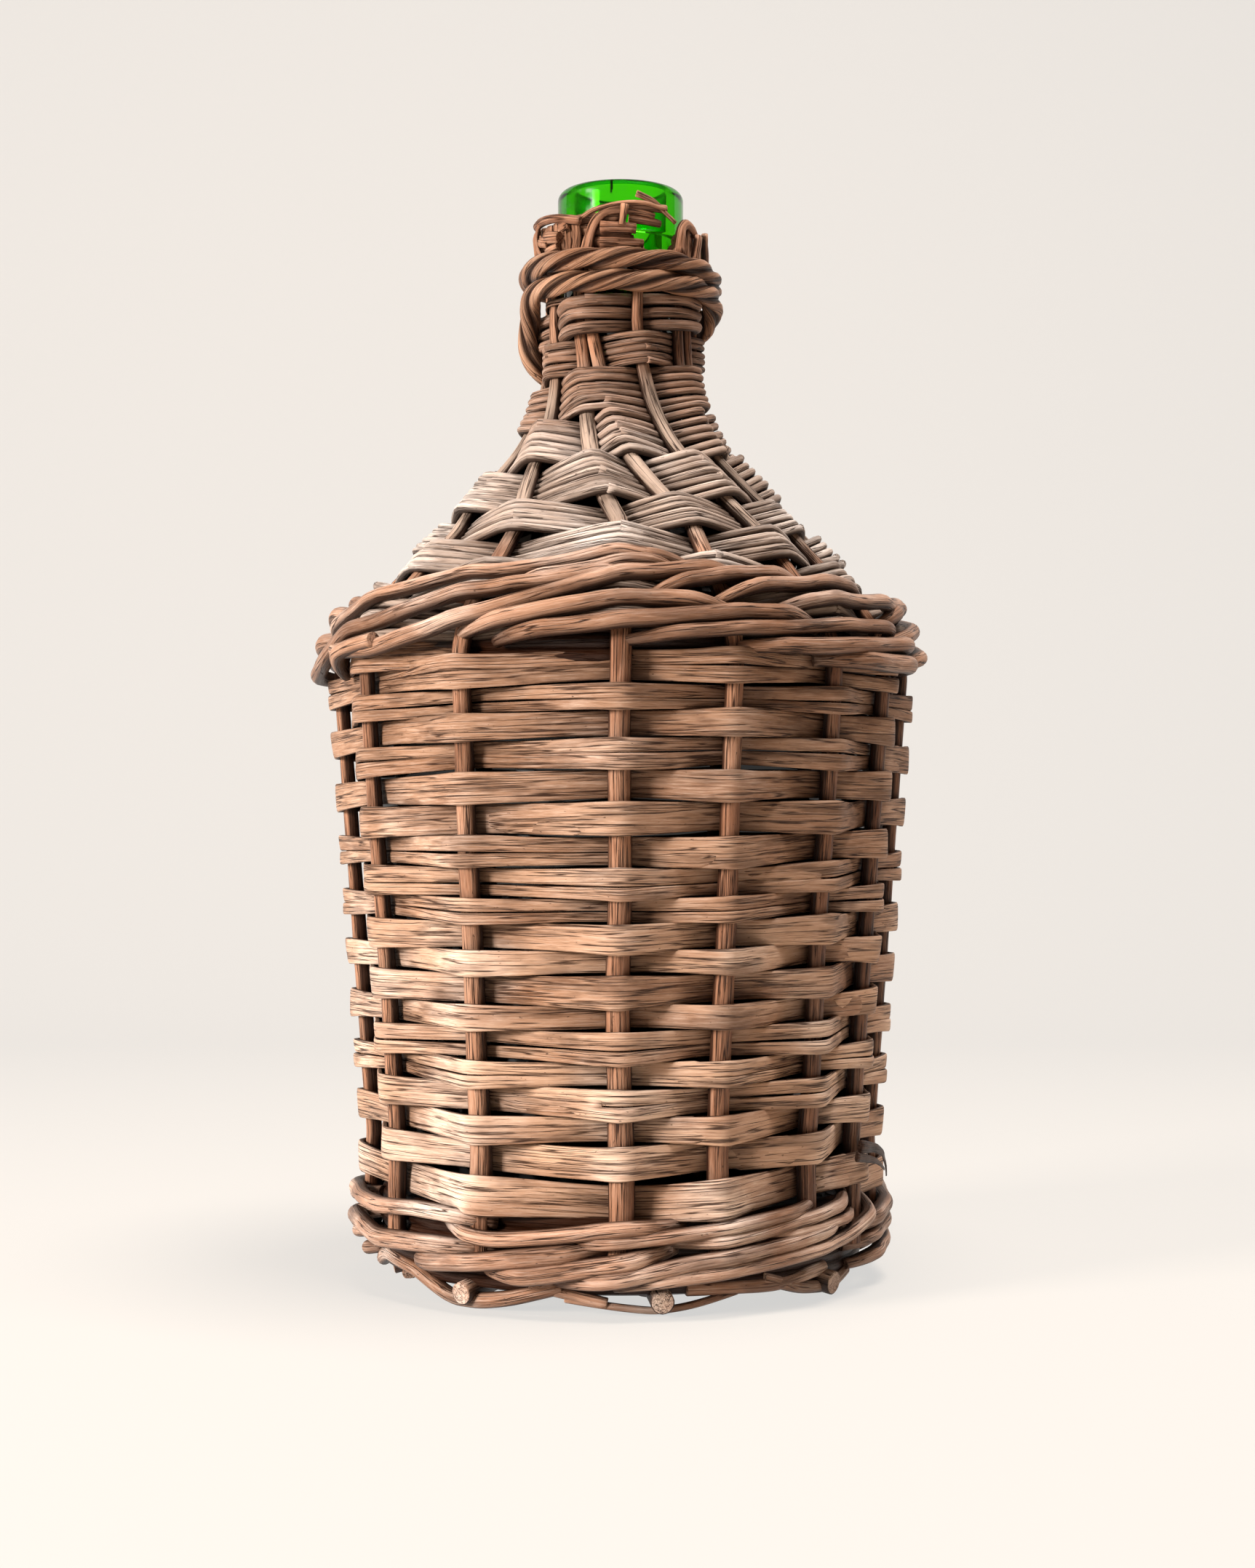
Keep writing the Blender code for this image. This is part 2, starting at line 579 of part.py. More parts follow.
def make_neck_weavers(start, end, material):
    """Rods side by side that climb as one band, thinner towards the neck.

    The band makes as many turns as fit between the two lengths, and is spread to fill them.
    """
    first_pitch = BAND_RODS * (BAND_ROD_LOW_DIAMETER + BAND_ROD_GAP)
    last_pitch = BAND_RODS * (BAND_ROD_HIGH_DIAMETER + BAND_ROD_GAP)
    rows = int(2 * (end - start) / (first_pitch + last_pitch))
    spread = 2 * (end - start) / (first_pitch + last_pitch) / rows
    first = STAKE_COUNT // 2 + 1
    for rod in range(BAND_RODS):
        points = []
        radii = []
        for index in range((rows - 1) * STAKE_COUNT + 1):
            turn = index / STAKE_COUNT + (rod + 0.5) / BAND_RODS
            climbed = first_pitch * turn - (first_pitch - last_pitch) * turn ** 2 / rows / 2
            length = start + climbed * spread
            thinner = (BAND_ROD_HIGH_DIAMETER - BAND_ROD_LOW_DIAMETER) * turn / rows
            radius = (BAND_ROD_LOW_DIAMETER + thinner) / 2
            front, behind = weave_offsets(first + index, length, radius)
            azimuth = stake_azimuth(first + index, length)
            points.append(casing_point(length, azimuth, front if index % 2 else behind))
            radii.append(radius)
        make_rod(f"neck_weaver_{rod + 1}", points, radii, material, resolution=0)


def rope_height(azimuth):
    """Height of the upper rope, which hangs lower at the right."""
    return ROPE_HEIGHT - ROPE_TILT * math.sin(azimuth) + ROPE_WAVE * math.cos(2 * azimuth)


def make_ropes(material):
    """The upper rope is a ring. The lower ones pass under it and go down to the neck weave."""
    radius = ROPE_DIAMETER / 2
    on_stakes = stake_line.points[-1].x + STAKE_TIP_DIAMETER / 2 + CLEARANCE + radius
    points = []
    for index in range(ROPE_RING_POINTS):
        azimuth = 2 * math.pi * index / ROPE_RING_POINTS
        points.append(polar(on_stakes, azimuth, rope_height(azimuth)))
    make_rod("neck_rope_upper", points, [radius] * len(points), material, 2, cyclic=True)

    rod_radius = BAND_ROD_HIGH_DIAMETER / 2
    front, _ = weave_offsets(0, stake_line.length_at(BAND_TOP), rod_radius)
    on_weave = stake_line.points[-1].x + front + rod_radius + 2 * CLEARANCE + radius
    for name, middle in (("neck_rope_lower_front", 0.0), ("neck_rope_lower_back", math.pi)):
        points = []
        for index in range(ROPE_SPAN_STEPS + 1):
            share = 2 * index / ROPE_SPAN_STEPS - 1
            azimuth = middle + share * ROPE_HALF_SPAN
            under = rope_height(azimuth) - ROPE_DIAMETER - 3 * CLEARANCE
            out = min(1.0, (abs(share) / ROPE_OUT_SHARE) ** 3)
            fall = ROPE_DROP_RIGHT if math.sin(azimuth) > 0 else ROPE_DROP_LEFT
            fallen = max(0.0, abs(share) - ROPE_FALL_SHARE) / (1 - ROPE_FALL_SHARE)
            from_axis = on_stakes + (on_weave - on_stakes) * out
            points.append(polar(from_axis, azimuth, under - fall * fallen))
        make_rod(name, points, [radius] * len(points), material, 2)


for leftover in list(bpy.data.objects):
    bpy.data.objects.remove(leftover)

parts = make_collection("wicker_demijohn")
cutters = make_collection("cutters_and_guides")

green_glass = make_material("green_glass", (0.02, 0.42, 0.05), 0.06, 1.0)
barked_rod = make_material("barked_rod", (0.25, 0.12, 0.06), 0.6)
thick_rod = make_material("thick_rod", (0.33, 0.18, 0.09), 0.55)
split_strip = make_material("split_strip", (0.36, 0.22, 0.12), 0.65)
grey_rod = make_material("grey_rod", (0.27, 0.18, 0.12), 0.7)
twisted_rod = make_material("twisted_rod", (0.32, 0.16, 0.07), 0.5)

make_bottle(green_glass)
make_base_sticks(thick_rod)
make_base_weavers(grey_rod)
make_foot_border(thick_rod)

bottom_wale = stake_line.length_at(BOTTOM_WALE_CENTRE)
shoulder_wale = stake_line.length_at(SHOULDER_WALE_CENTRE)
for band in range(BOTTOM_WALE_BANDS):
    below_top = (band + 0.5) / BOTTOM_WALE_BANDS - 0.5
    centre = bottom_wale - below_top * (BOTTOM_WALE_HEIGHT + CLEARANCE)
    make_wale("bottom_wale_rod", band * WALE_RODS + 1, centre, BOTTOM_WALE_DIAMETER, thick_rod)
make_wale("shoulder_wale_rod", 1, shoulder_wale, SHOULDER_WALE_DIAMETER, thick_rod)

strip_start = bottom_wale + BOTTOM_WALE_HEIGHT / 2 + CLEARANCE
strip_end = shoulder_wale - wale_height(SHOULDER_WALE_DIAMETER) / 2 - CLEARANCE
make_body_weaver(strip_start, strip_end, split_strip)

band_start = shoulder_wale + wale_height(SHOULDER_WALE_DIAMETER) / 2 + CLEARANCE
make_neck_weavers(band_start, stake_line.length_at(BAND_TOP), grey_rod)
make_stakes(barked_rod)
make_ropes(twisted_rod)
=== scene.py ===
import math
import random

import bmesh
import bpy
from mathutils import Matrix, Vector, noise


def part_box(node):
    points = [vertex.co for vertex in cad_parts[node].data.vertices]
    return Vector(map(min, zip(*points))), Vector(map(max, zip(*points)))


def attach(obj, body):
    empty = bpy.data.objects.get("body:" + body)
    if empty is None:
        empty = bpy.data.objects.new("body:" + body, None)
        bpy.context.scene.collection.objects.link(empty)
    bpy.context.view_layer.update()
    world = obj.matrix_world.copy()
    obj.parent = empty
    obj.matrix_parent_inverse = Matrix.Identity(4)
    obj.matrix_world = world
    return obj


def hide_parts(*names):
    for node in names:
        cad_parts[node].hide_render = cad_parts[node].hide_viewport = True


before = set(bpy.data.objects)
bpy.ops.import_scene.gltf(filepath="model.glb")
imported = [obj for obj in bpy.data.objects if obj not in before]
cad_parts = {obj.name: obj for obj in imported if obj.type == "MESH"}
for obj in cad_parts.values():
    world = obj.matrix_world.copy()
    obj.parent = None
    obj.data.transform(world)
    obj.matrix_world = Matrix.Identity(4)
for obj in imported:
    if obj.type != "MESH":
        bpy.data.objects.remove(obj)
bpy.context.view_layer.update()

# The glass bottle holds five litres. It is green blown glass with a thickened lip and a raised
# bottom, turned here from one profile as the mould would form it, and open at the mouth.
MM = 0.001
GLASS_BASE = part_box("glass_bottle")[0].z
GLASS_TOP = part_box("glass_bottle")[1].z
GLASS_WALL = 4.0 * MM
FLOOR_THICKNESS = 6.0 * MM
BODY_RADIUS_LOW = 76.4 * MM
BODY_RADIUS_HIGH = 90.8 * MM
SHOULDER_HEIGHT = 193.0 * MM
SHOULDER_SLOPE = math.radians(42.5)
NECK_RADIUS = 19.3 * MM
LIP_RADIUS = 21.6 * MM
LIP_HEIGHT = 18.0 * MM
LIP_ROUNDING = 2.0 * MM
OUTER_LIP_ROUNDING = 3.4 * MM
HEEL_FILLET = 34.0 * MM
SHOULDER_FILLET = 70.0 * MM
NECK_FILLET = 45.0 * MM
PUNT_RADIUS = 42.0 * MM
PUNT_HEIGHT = 18.0 * MM
PUNT_FILLET = 9.0 * MM
GLASS_STEPS = 112
GLASS_WELD = 0.01 * MM
PAINTED_SHADE_BELOW = GLASS_TOP - 27.0 * MM
PAINTED_SHADE_FADE = 7.0 * MM
SEAM_PLACE = -2.8 * MM
SEAM_WIDTH = 0.45 * MM
SEAM_DEPTH = 5.0 * MM


class Outline:
    """A line of straight runs and fillets in the plane of radius and height."""

    def __init__(self, corners, fillets, arc_steps):
        self.points = [Vector(corners[0])]
        for index, fillet in enumerate(fillets, start=1):
            corner = Vector(corners[index])
            back = (Vector(corners[index - 1]) - corner).normalized()
            ahead = (Vector(corners[index + 1]) - corner).normalized()
            half_turn = (math.pi - back.angle(ahead)) / 2
            centre = corner + (back + ahead).normalized() * fillet / math.cos(half_turn)
            first = corner + back * fillet * math.tan(half_turn) - centre
            last = corner + ahead * fillet * math.tan(half_turn) - centre
            middle = (first + last).normalized()
            side = (last - first).normalized()
            for step in range(arc_steps + 1):
                swing = (2 * step / arc_steps - 1) * half_turn
                spoke = middle * math.cos(swing) + side * math.sin(swing)
                self.points.append(centre + spoke * fillet)
        self.points.append(Vector(corners[-1]))
        self.lengths = [0.0]
        for before, after in zip(self.points, self.points[1:]):
            self.lengths.append(self.lengths[-1] + (after - before).length)

    def at(self, length):
        """Point and outward normal at a length from the start."""
        last = len(self.points) - 2
        index = 0
        while index < last and self.lengths[index + 1] < length:
            index += 1
        share = (length - self.lengths[index]) / (self.lengths[index + 1] - self.lengths[index])
        point = self.points[index].lerp(self.points[index + 1], share)
        before = self.points[max(index - 1, 0)]
        after = self.points[min(index + 2, last + 1)]
        along = (self.points[index + 1] - before).lerp(after - self.points[index], share).normalized()
        return point, Vector((along.y, -along.x))

    def length_at(self, height):
        """Length at which a rising outline first reaches a height."""
        for index in range(len(self.points) - 1):
            low, high = self.points[index].y, self.points[index + 1].y
            if low <= height <= high and high > low:
                share = (height - low) / (high - low)
                return self.lengths[index] + share * (self.lengths[index + 1] - self.lengths[index])
        return self.lengths[-1]


class Wire:
    """A socket in a material's node tree. Sums and products of wires add their Math nodes."""

    def __init__(self, tree, socket=None):
        self.tree = tree
        self.socket = socket

    def node(self, kind, settings=None, inputs=None, output=0):
        """Adds a node with its settings and the values or links of its sockets."""
        made = self.tree.nodes.new(kind)
        for name, value in (settings or {}).items():
            setattr(made, name, value)
        for name, value in (inputs or {}).items():
            if isinstance(value, Wire):
                self.tree.links.new(value.socket, made.inputs[name])
            else:
                made.inputs[name].default_value = value
        return Wire(self.tree, made.outputs[output])

    def maths(self, operation, *values, clamp=False):
        settings = {"operation": operation, "use_clamp": clamp}
        return self.node("ShaderNodeMath", settings, dict(enumerate(values)))

    def mix(self, low, high, share):
        """A colour between two colours."""
        settings = {"data_type": "RGBA", "clamp_factor": True}
        return self.node("ShaderNodeMix", settings, {0: share, 6: low, 7: high}, output=2)

    def between(self, low, high):
        """0 where the value is at or under low, 1 where it is at or over high, and smooth between."""
        settings = {"interpolation_type": "SMOOTHSTEP"}
        return self.node("ShaderNodeMapRange", settings, {0: self, 1: low, 2: high})

    def into(self, shader, name):
        self.tree.links.new(self.socket, shader.inputs[name])

    def __add__(self, other):
        return self.maths("ADD", self, other)

    def __sub__(self, other):
        return self.maths("SUBTRACT", self, other)

    def __rsub__(self, other):
        return self.maths("SUBTRACT", other, self)

    def __mul__(self, other):
        return self.maths("MULTIPLY", self, other)

    __radd__ = __add__
    __rmul__ = __mul__


def new_material(name):
    """A material with its tree's first wire and its Principled shader."""
    material = bpy.data.materials.new(name)
    material.use_nodes = True
    return material, Wire(material.node_tree), material.node_tree.nodes["Principled BSDF"]


def make_glass():
    """Thick green glass with ripples, a dull film at the left, a dark mould seam on the lip, and painted
    shade at its edges and below the neck.
    """
    material, wire, shader = new_material("old_green_glass")
    place = wire.node("ShaderNodeTexCoord", output="Object")
    smears = wire.node("ShaderNodeTexNoise", None, {"Vector": place, "Scale": 130.0, "Detail": 4.0})
    ripples = wire.node("ShaderNodeTexNoise", None, {"Vector": place, "Scale": 60.0, "Detail": 1.0})
    x, y, z = [wire.node("ShaderNodeSeparateXYZ", None, {"Vector": place}, output=axis)
               for axis in "XYZ"]
    beside = wire.maths("ABSOLUTE", x - SEAM_PLACE)
    seam = 1 - beside.between(SEAM_WIDTH * 0.5, SEAM_WIDTH)
    seam = seam * z.between(GLASS_TOP - SEAM_DEPTH, GLASS_TOP - SEAM_DEPTH * 0.8)
    seam = seam * (1 - y.between(-0.5 * LIP_RADIUS, 0.0))
    left = 1 - x.between(-0.95 * LIP_RADIUS, -0.25 * LIP_RADIUS)
    film = smears.between(0.44, 0.66) * (left * 0.8 + 0.2)
    # Painted shade: the green darkens towards the edges, where the glass is seen at a grazing angle.
    edge = wire.node("ShaderNodeLayerWeight", None, {"Blend": 0.35}, output="Facing")
    green = wire.mix((0.05, 0.72, 0.002, 1.0), (0.006, 0.13, 0.004, 1.0), edge.between(0.08, 0.62))
    green = wire.mix(green, (0.10, 0.30, 0.09, 1.0), film * 0.6)
    # Painted shade: below the neck the glass is painted near black, as it lies in the shade inside the
    # casing.
    green = wire.mix((0.0001, 0.0006, 0.0001, 1.0), green, z.between(PAINTED_SHADE_BELOW, PAINTED_SHADE_BELOW + PAINTED_SHADE_FADE))
    wire.mix(green, (0.002, 0.012, 0.002, 1.0), seam).into(shader, "Base Color")
    (0.03 + film * 0.35).into(shader, "Roughness")
    uneven = {"Height": ripples, "Strength": 0.25, "Distance": 0.4 * MM}
    wire.node("ShaderNodeBump", None, uneven).into(shader, "Normal")
    shader.inputs["Transmission Weight"].default_value = 1.0
    shader.inputs["Specular IOR Level"].default_value = 0.3
    shader.inputs["IOR"].default_value = 1.5
    return material


def into_scene(name, data):
    """A new object in the scene for a mesh, a lamp or a lens."""
    made = bpy.data.objects.new(name, data)
    bpy.context.scene.collection.objects.link(made)
    return made


def place_piece(name, shape, material, slot, *nodes):
    """Makes a shape an object that rides on the body and stands for the CAD nodes it replaces."""
    mesh = bpy.data.meshes.new(name)
    shape.to_mesh(mesh)
    shape.free()
    mesh.materials.append(material)
    piece = into_scene(name, mesh)
    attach(piece, "root")
    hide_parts(*nodes)


shoulder_corner = (BODY_RADIUS_HIGH, GLASS_BASE + SHOULDER_HEIGHT)
slope_rise = (BODY_RADIUS_HIGH - NECK_RADIUS) / math.tan(SHOULDER_SLOPE)
neck_corner = (NECK_RADIUS, shoulder_corner[1] + slope_rise)
glass_outline = Outline(
    [(PUNT_RADIUS, GLASS_BASE), (BODY_RADIUS_LOW, GLASS_BASE), shoulder_corner, neck_corner,
     (NECK_RADIUS, GLASS_TOP - LIP_HEIGHT)],
    [HEEL_FILLET, SHOULDER_FILLET, NECK_FILLET], arc_steps=14)
punt_top = GLASS_BASE + PUNT_HEIGHT
inside = Outline(
    [(0.0, punt_top + FLOOR_THICKNESS), (PUNT_RADIUS - PUNT_HEIGHT, punt_top + FLOOR_THICKNESS),
     (PUNT_RADIUS, GLASS_BASE + FLOOR_THICKNESS),
     (BODY_RADIUS_LOW - GLASS_WALL, GLASS_BASE + FLOOR_THICKNESS),
     (shoulder_corner[0] - GLASS_WALL, shoulder_corner[1]),
     (neck_corner[0] - GLASS_WALL, neck_corner[1]),
     (NECK_RADIUS - GLASS_WALL, GLASS_TOP), (LIP_RADIUS, GLASS_TOP),
     (LIP_RADIUS, GLASS_TOP - LIP_HEIGHT), (NECK_RADIUS, GLASS_TOP - LIP_HEIGHT)],
    [PUNT_FILLET, PUNT_FILLET, HEEL_FILLET - FLOOR_THICKNESS, SHOULDER_FILLET - GLASS_WALL,
     NECK_FILLET + GLASS_WALL, LIP_ROUNDING, OUTER_LIP_ROUNDING, LIP_ROUNDING / 2], arc_steps=10)
under = Outline(
    [(PUNT_RADIUS + PUNT_FILLET, GLASS_BASE), (PUNT_RADIUS, GLASS_BASE),
     (PUNT_RADIUS - PUNT_HEIGHT, punt_top), (0.0, punt_top)],
    [PUNT_FILLET, PUNT_FILLET], arc_steps=8)

bottle = bmesh.new()
profile = inside.points[:-1] + glass_outline.points[:0:-1] + under.points[1:]
rim = [bottle.verts.new((point.x, 0.0, point.y)) for point in profile]
edges = [bottle.edges.new(pair) for pair in zip(rim, rim[1:])]
bmesh.ops.spin(bottle, geom=rim + edges, cent=(0, 0, 0), axis=(0, 0, 1), angle=2 * math.pi,
               steps=GLASS_STEPS, use_merge=True)
bmesh.ops.remove_doubles(bottle, verts=bottle.verts, dist=GLASS_WELD)
bmesh.ops.recalc_face_normals(bottle, faces=bottle.faces)
for face in bottle.faces:
    face.smooth = True
place_piece("blown_bottle", bottle, make_glass(), "green_glass", "glass_bottle")

# The base is two pairs of thick peeled sticks that cross under the bottle and fan out to eight
# ends. They are cut off square, so their butt ends with the pith show under the weave.
CLEARANCE = 0.3 * MM
FOOT_ROD_RADIUS = 2.5 * MM
FOOT_ROD_HEIGHT = 2.0 * MM
STICK_RADIUS = 3.8 * MM
STICK_HEIGHT = FOOT_ROD_HEIGHT + FOOT_ROD_RADIUS + CLEARANCE + STICK_RADIUS
STICK_AZIMUTH = math.radians(9.0)
STICK_ENDS = 8
STICK_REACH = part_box("base_stick_4")[1].x / math.cos(STICK_AZIMUTH)
STICK_DIP_RADIUS = 62.0 * MM
STICK_END_RADIUS = 85.5 * MM
SHORT_STICK_RADIUS = 78.0 * MM
SHORT_STICK_TURN = math.radians(60.0)
STICK_END_HEIGHT = 5.0 * MM
FAN_RADIUS = 30.0 * MM
STICK_SPACING = 3.0 * MM
STICK_SIDES = 18
ROD_WELD = 0.001 * MM
LUMP_RUN = 22.0 * MM
END_ROUNDING = 0.35 * MM
END_SHRINK = 0.86
END_WEAR = 0.8
AGE_FADE = 20.0 * MM
ROD_EDGE_SHADE = 0.88


def polar(radius, azimuth, height):
    """A place at a radius from the axis and an azimuth from the front, which grows towards +X."""
    return Vector((radius * math.sin(azimuth), -radius * math.cos(azimuth), height))


def wander(place, amount, seed):
    """A smooth stray of a value along a rod, never more than the amount."""
    return amount * noise.noise(Vector((place, seed, 0.7 * seed)))


def eased(points, passes):
    """The points with their corners rounded a little more at each pass."""
    for _ in range(passes):
        inner = [(before + here * 2 + after) / 4
                 for before, here, after in zip(points, points[1:], points[2:])]
        points = [points[0]] + inner + [points[-1]]
    return points


def divided(points, spacing):
    """The same line with new points between, no further apart than the spacing."""
    fine = [points[0]]
    for before, after in zip(points, points[1:]):
        count = max(1, math.ceil((after - before).length / spacing))
        fine += [before.lerp(after, (step + 1) / count) for step in range(count)]
    return fine


def round_section(turn, along):
    return math.cos(turn), math.sin(turn)


def lay_rod(shape, line, sides, seed, section=round_section):
    """Rolls a grid into a rod along a line and adds it to a shape.

    A station of the line is a middle, an outward direction, half the thickness, half the width
    and the wear and shade, from -1 where dirt and painted shade darken it to 1 where the bark is
    rubbed pale. The grain layer holds each place inside the straightened rod: across in x and y,
    and along in z. The tint layer makes one rod darker than the next. The crown layer is 1 on the
    cut ends, and falls from 1 on the outer face to 0 at the edges, where the shade of the grooves is
    painted, and to -1 at the back.
    """
    rod = bmesh.new()
    grain = rod.verts.layers.float_vector.new("grain")
    wear_and_shade = rod.verts.layers.float.new("wear_and_shade")
    tint = rod.verts.layers.float.new("tint")
    crown = rod.verts.layers.float.new("crown")
    shade = 0.5 + noise.noise(Vector((seed * 1.37, 0.5, seed * 0.61)))
    count = len(line) - 1
    bmesh.ops.create_grid(rod, x_segments=count, y_segments=sides, size=0.5)
    rings = []
    along = 0.0
    for index, (middle, outward, thick, wide, worn_and_shaded) in enumerate(line):
        before = line[max(index - 1, 0)][0]
        ahead = (line[min(index + 1, count)][0] - before).normalized()
        across = ahead.cross(outward).normalized()
        along += (middle - before).length
        rings.append((middle, across.cross(ahead), across, thick, wide, worn_and_shaded, along))
    for vert in rod.verts:
        ring = rings[round((vert.co.x + 0.5) * count)]
        middle, outward, across, thick, wide, worn_and_shaded, along = ring
        turn = 2 * math.pi * (vert.co.y + 0.5)
        out, side = section(turn, along)
        vert[crown] = 1.0 if ring in (rings[0], rings[-1]) else math.cos(turn)
        vert.co = middle + outward * (out * thick) + across * (side * wide)
        vert[grain] = (out * thick, side * wide, along + seed)
        vert[wear_and_shade] = worn_and_shaded
        vert[tint] = shade
    bmesh.ops.remove_doubles(rod, verts=rod.verts, dist=ROD_WELD)
    ends = [edge for edge in rod.edges if edge.is_boundary]
    bmesh.ops.holes_fill(rod, edges=ends, sides=0)
    bmesh.ops.recalc_face_normals(rod, faces=rod.faces)
    for face in rod.faces:
        face.smooth = len(face.verts) <= 4
    mesh = bpy.data.meshes.new("rod")
    rod.to_mesh(mesh)
    rod.free()
    shape.from_mesh(mesh)
    bpy.data.meshes.remove(mesh)


def rod_line(points, radius, seed, worn_and_shaded=0.0, lumps=0.05, outward=None):
    """Stations for a round rod that swells and thins a little along its length."""
    line = []
    along = 0.0
    for index, point in enumerate(points):
        along += (point - points[max(index - 1, 0)]).length
        thick = radius * (1 + wander(along / LUMP_RUN, lumps, seed))
        out = outward or Vector((point.x, point.y, 0.0)).normalized()
        line.append((point, out, thick, thick, worn_and_shaded))
    first, last = line[0], line[-1]
    cut = (points[0] - points[1]).normalized() * END_ROUNDING
    over = (points[-1] - points[-2]).normalized() * END_ROUNDING
    line.insert(0, (first[0] + cut, first[1], first[2] * END_SHRINK, first[3] * END_SHRINK, END_WEAR))
    line.append((last[0] + over, last[1], last[2] * END_SHRINK, last[3] * END_SHRINK, END_WEAR))
    return line


def make_willow(name, deep, middle, pale, bleach, fissure, roughness, relief, edge, aged=None):
    """Dry willow with long fibres, cracks, a pale bloom where it is rubbed, and dirt and painted shade
    in the nooks.

    Edge is the crown at which the painted shade of the grooves has faded out. Aged is None, or the
    heights between which a weathered colour comes in, that colour, its share and the height it goes up
    to.
    """
    material, wire, shader = new_material(name)
    grain = wire.node("ShaderNodeAttribute", {"attribute_name": "grain"}, output="Vector")
    wear_and_shade, tint, crown = [wire.node("ShaderNodeAttribute", {"attribute_name": layer}, output="Fac")
                         for layer in ("wear_and_shade", "tint", "crown")]
    place = wire.node("ShaderNodeTexCoord", output="Object")

    def streaks(across, along, detail):
        scale = (across, across, along)
        stretched = wire.node("ShaderNodeMapping", None, {"Vector": grain, "Scale": scale})
        inputs = {"Vector": stretched, "Scale": 1.0, "Detail": detail, "Roughness": 0.62}
        return wire.node("ShaderNodeTexNoise", None, inputs)

    tone = streaks(90.0, 14.0, 2.0)
    fibres = streaks(1900.0, 90.0, 3.0)
    threads = streaks(5200.0, 320.0, 2.0)
    splits = streaks(520.0, 15.0, 2.0)
    specks = streaks(1100.0, 460.0, 2.0)
    blotches = wire.node("ShaderNodeTexNoise", None, {"Vector": place, "Scale": 24.0, "Detail": 3.0})
    stains = streaks(170.0, 38.0, 3.0)
    crack = 1 - wire.maths("ABSOLUTE", splits - 0.5).between(0.004, 0.004 + 0.035 * fissure)
    crack = crack * fibres.between(0.34, 0.54)
    speck = specks.between(0.68, 0.76)
    # Dirt and painted shade: the negative wear and shade darkens the tucks behind stakes and the rods
    # set back in the weave.
    dirt_and_shade = wire.maths("MAXIMUM", wear_and_shade * -1.0, 0.0)
    rubbed = wire.maths("MAXIMUM", wear_and_shade, 0.0)

    body = wire.maths("MULTIPLY", tone.between(0.30, 0.66) * 0.75 + tint * 0.55, 0.85, clamp=True)
    colour = wire.mix(deep, middle, body)
    bloom = blotches.between(0.44, 0.70) * bleach + rubbed * 0.35
    z = wire.node("ShaderNodeSeparateXYZ", None, {"Vector": place}, output="Z")
    if aged:
        (low, high), weathered, share, above = aged
        old = z.between(low, high) * share * (1 - z.between(above, above + AGE_FADE))
        colour = wire.mix(colour, weathered, old)
        bloom = bloom * (1 - old)
    light = fibres.between(0.44, 0.72) * 0.36 + threads.between(0.46, 0.75) * 0.22
    rubbing = wire.maths("MULTIPLY", light + bloom * 0.40, bloom * 0.6 + 0.50, clamp=True)
    colour = wire.mix(colour, pale, rubbing)
    dark = (deep[0] * 0.10, deep[1] * 0.06, deep[2] * 0.04, 1.0)
    shade = 1 - fibres.between(0.26, 0.47)
    # Painted shade: each rod darkens towards its edges and its back, where it meets its neighbours.
    painted_edge_shade = 1 - crown.between(edge * 0.12, edge)
    stained = (1 - stains.between(0.36, 0.52)) * 0.42
    colour = wire.mix(colour, dark, wire.maths("MAXIMUM", stained, painted_edge_shade * 0.92))
    colour = wire.mix(colour, dark, shade * 0.50 + dirt_and_shade * 0.80)
    colour = wire.mix(colour, dark, wire.maths("MAXIMUM", crack, speck * 0.75) * 0.94)
    colour.into(shader, "Base Color")
    (fibres * 0.25 + (roughness - 0.12)).into(shader, "Roughness")
    height = fibres * 0.7 + threads * 0.25 - crack * 1.1 - speck * 0.35
    bump = wire.node("ShaderNodeBump", None, {"Height": height, "Strength": 0.9, "Distance": relief})
    bump.into(shader, "Normal")
    shader.inputs["Specular IOR Level"].default_value = 0.35
    return material


pale_willow = make_willow("thick_pale_willow", (0.17, 0.072, 0.034, 1), (0.40, 0.213, 0.132, 1),
                          (0.88, 0.72, 0.61, 1), 0.95, 0.6, 0.48, 0.40 * MM, ROD_EDGE_SHADE)

fan = math.pi / STICK_ENDS
for pair in range(2):
    axis = STICK_AZIMUTH - fan + pair * math.pi / 2
    raised = STICK_HEIGHT + pair * (2 * STICK_RADIUS + CLEARANCE)
    for side in (-1, 1):
        points = []
        for end in (-1, 1):
            heading = axis if end > 0 else axis + math.pi
            spread = heading + side * end * fan
            beside = polar(1.0, axis + math.pi / 2, 0.0) * side * (STICK_RADIUS + CLEARANCE)
            near = beside + polar(3 * STICK_RADIUS + 2 * CLEARANCE, heading, raised)
            in_front = math.cos(spread) > math.cos(SHORT_STICK_TURN)
            reach = STICK_END_RADIUS if in_front else SHORT_STICK_RADIUS
            run = [near, polar(FAN_RADIUS, spread, STICK_HEIGHT),
                   polar(STICK_DIP_RADIUS, spread, STICK_HEIGHT),
                   polar(reach, spread, STICK_END_HEIGHT)]
            points = points + run if end > 0 else run[::-1]
        stick = bmesh.new()
        number = 2 * pair + (side + 3) // 2
        line = rod_line(eased(divided(points, STICK_SPACING), 4), STICK_RADIUS, seed=number,
                        lumps=0.06, outward=Vector((0, 0, 1)))
        lay_rod(stick, line, STICK_SIDES, seed=number * 3.1)
        place_piece(f"peeled_stick_{number}", stick, pale_willow, "thick_rod", f"base_stick_{number}")

